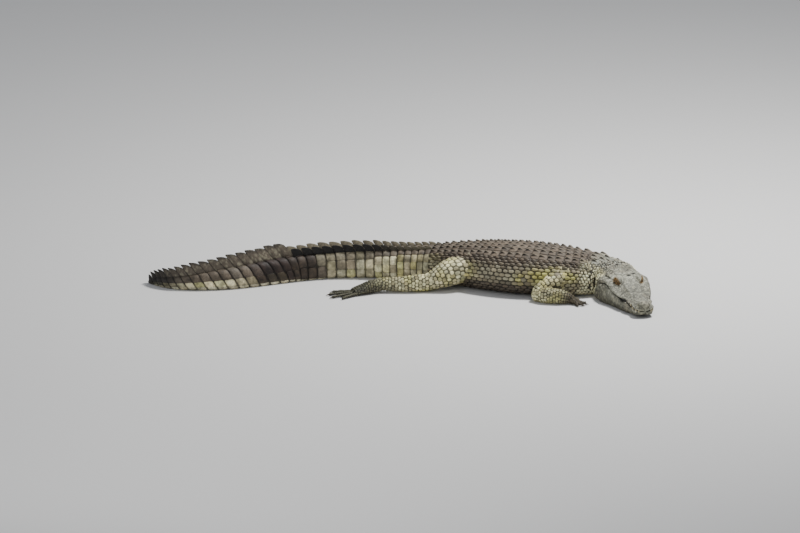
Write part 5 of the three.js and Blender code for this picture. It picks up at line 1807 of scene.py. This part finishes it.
def claw_material():
    return surface_material("claw_horn", 0.4, grain=700, bump=0.15, variation=0.15, **SHINING)


def tooth_material():
    return surface_material("tooth_enamel", 0.35, grain=800, bump=0.08, variation=0.08, **SHINING)


def eye_material():
    """Wet: a smooth clear coat over the iris."""
    material = surface_material("eye_wet", 0.18, grain=900, bump=0.02, variation=0.1, crease=0, specular=0.4)
    shader = material.node_tree.nodes["Principled BSDF"]
    shader.inputs["Coat Weight"].default_value = 0.4
    shader.inputs["Coat Roughness"].default_value = 0.03
    return material


def plain_material(name, colour, roughness):
    material = bpy.data.materials.new(name)
    material.use_nodes = True
    shader = material.node_tree.nodes["Principled BSDF"]
    shader.inputs["Base Color"].default_value = (*colour, 1)
    shader.inputs["Roughness"].default_value = roughness
    return material


# ------------------------------------------------------------------ floor, light and camera

FRAME_CENTRE = Vector((0.2, 72.6, 56)) * MM
CAMERA_DISTANCE = 60
CAMERA_ELEVATION = math.radians(15)
MM_PER_PIXEL = 4.07
FRAME_WIDTH = 800
FLOOR_HALF = 30_000
SKY_COLOUR, SKY_STRENGTH = (0.86, 0.90, 1.0, 1), 0.36
# Lamps: their places and sizes in metres, and their power.
LAMPS = {"key": ((1.9, 0.7, 3.9), 0.6, 290), "front_fill": ((-1.0, -3.4, 2.0), 3.0, 30)}


def make_camera():
    camera = new_object("camera", bpy.data.cameras.new("camera"))
    width = FRAME_WIDTH * MM_PER_PIXEL * MM
    camera.data.lens = camera.data.sensor_width * CAMERA_DISTANCE / width
    camera.data.clip_start, camera.data.clip_end = 1, 2 * CAMERA_DISTANCE
    back = Vector((0, -math.cos(CAMERA_ELEVATION), math.sin(CAMERA_ELEVATION)))
    camera.location = FRAME_CENTRE + back * CAMERA_DISTANCE
    camera.rotation_mode = "QUATERNION"
    camera.rotation_quaternion = (-back).to_track_quat("-Z", "Y")
    bpy.context.scene.camera = camera


def make_light(name, location, size, power):
    light = bpy.data.lights.new(name, "AREA")
    light.size, light.energy = size, power
    lamp = new_object(name, light)
    lamp.location = location
    lamp.rotation_mode = "QUATERNION"
    lamp.rotation_quaternion = (FRAME_CENTRE - Vector(location)).to_track_quat("-Z", "Y")


def make_stage():
    """A plain pale floor under a pale sky, a key lamp and a soft fill from the front."""
    corners = np.array([[x, y, 0] for x, y in ((-1, -1), (1, -1), (1, 1), (-1, 1))], float) * FLOOR_HALF
    floor = new_object("floor", mesh_from_arrays("floor", corners, [np.array([[0, 1, 2, 3]])]))
    floor.data.materials.append(plain_material("floor_paper", linear(214, 213, 210), 0.9))
    floor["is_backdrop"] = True
    world = bpy.data.worlds.new("studio")
    bpy.context.scene.world = world
    world.use_nodes = True
    background = world.node_tree.nodes["Background"]
    background.inputs["Color"].default_value = SKY_COLOUR
    background.inputs["Strength"].default_value = SKY_STRENGTH
    for name, lamp in LAMPS.items():
        make_light(name, *lamp)


# ------------------------------------------------------------------ the animal

FLESH_NODES = ["tail_tip", "tail_middle", "tail_base", "trunk", "neck", "head", "lower_jaw"]


def build():
    limbs = [Limb(kind, where) for kind in LIMBS for where in SIDES]
    skin, sheet = make_skin(limbs)
    limb_nodes = [f"{node}_{limb.where}" for limb in limbs for node in LIMBS[limb.kind]["nodes"]]
    dress(skin, skin_material(), FLESH_NODES + limb_nodes)
    seat = Seat(skin)
    hide = hide_material()
    for lay_coat in (back_scutes, flank_scales, belly_scales, nape_shields, neck_scales):
        lay_coat(sheet, seat, hide)
        seat.settle()
    tail_scales(sheet, tail_material())
    tail_crest(crest_material())
    limb_finish, claw_finish, eye_finish = limb_material(), claw_material(), eye_material()
    for number, limb in enumerate(limbs):
        limb_scales(limb, seat, limb_finish, number)
        seat.settle()
        make_claws(limb, claw_finish)
    for where in SIDES:
        make_eye(where, eye_finish)
    make_teeth(tooth_material())


build()
make_stage()
make_camera()

bpy.context.view_layer.update()
boxes = {name: [list(corner) for corner in box] for name, box in (("cad", cad_box), ("visual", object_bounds()))}
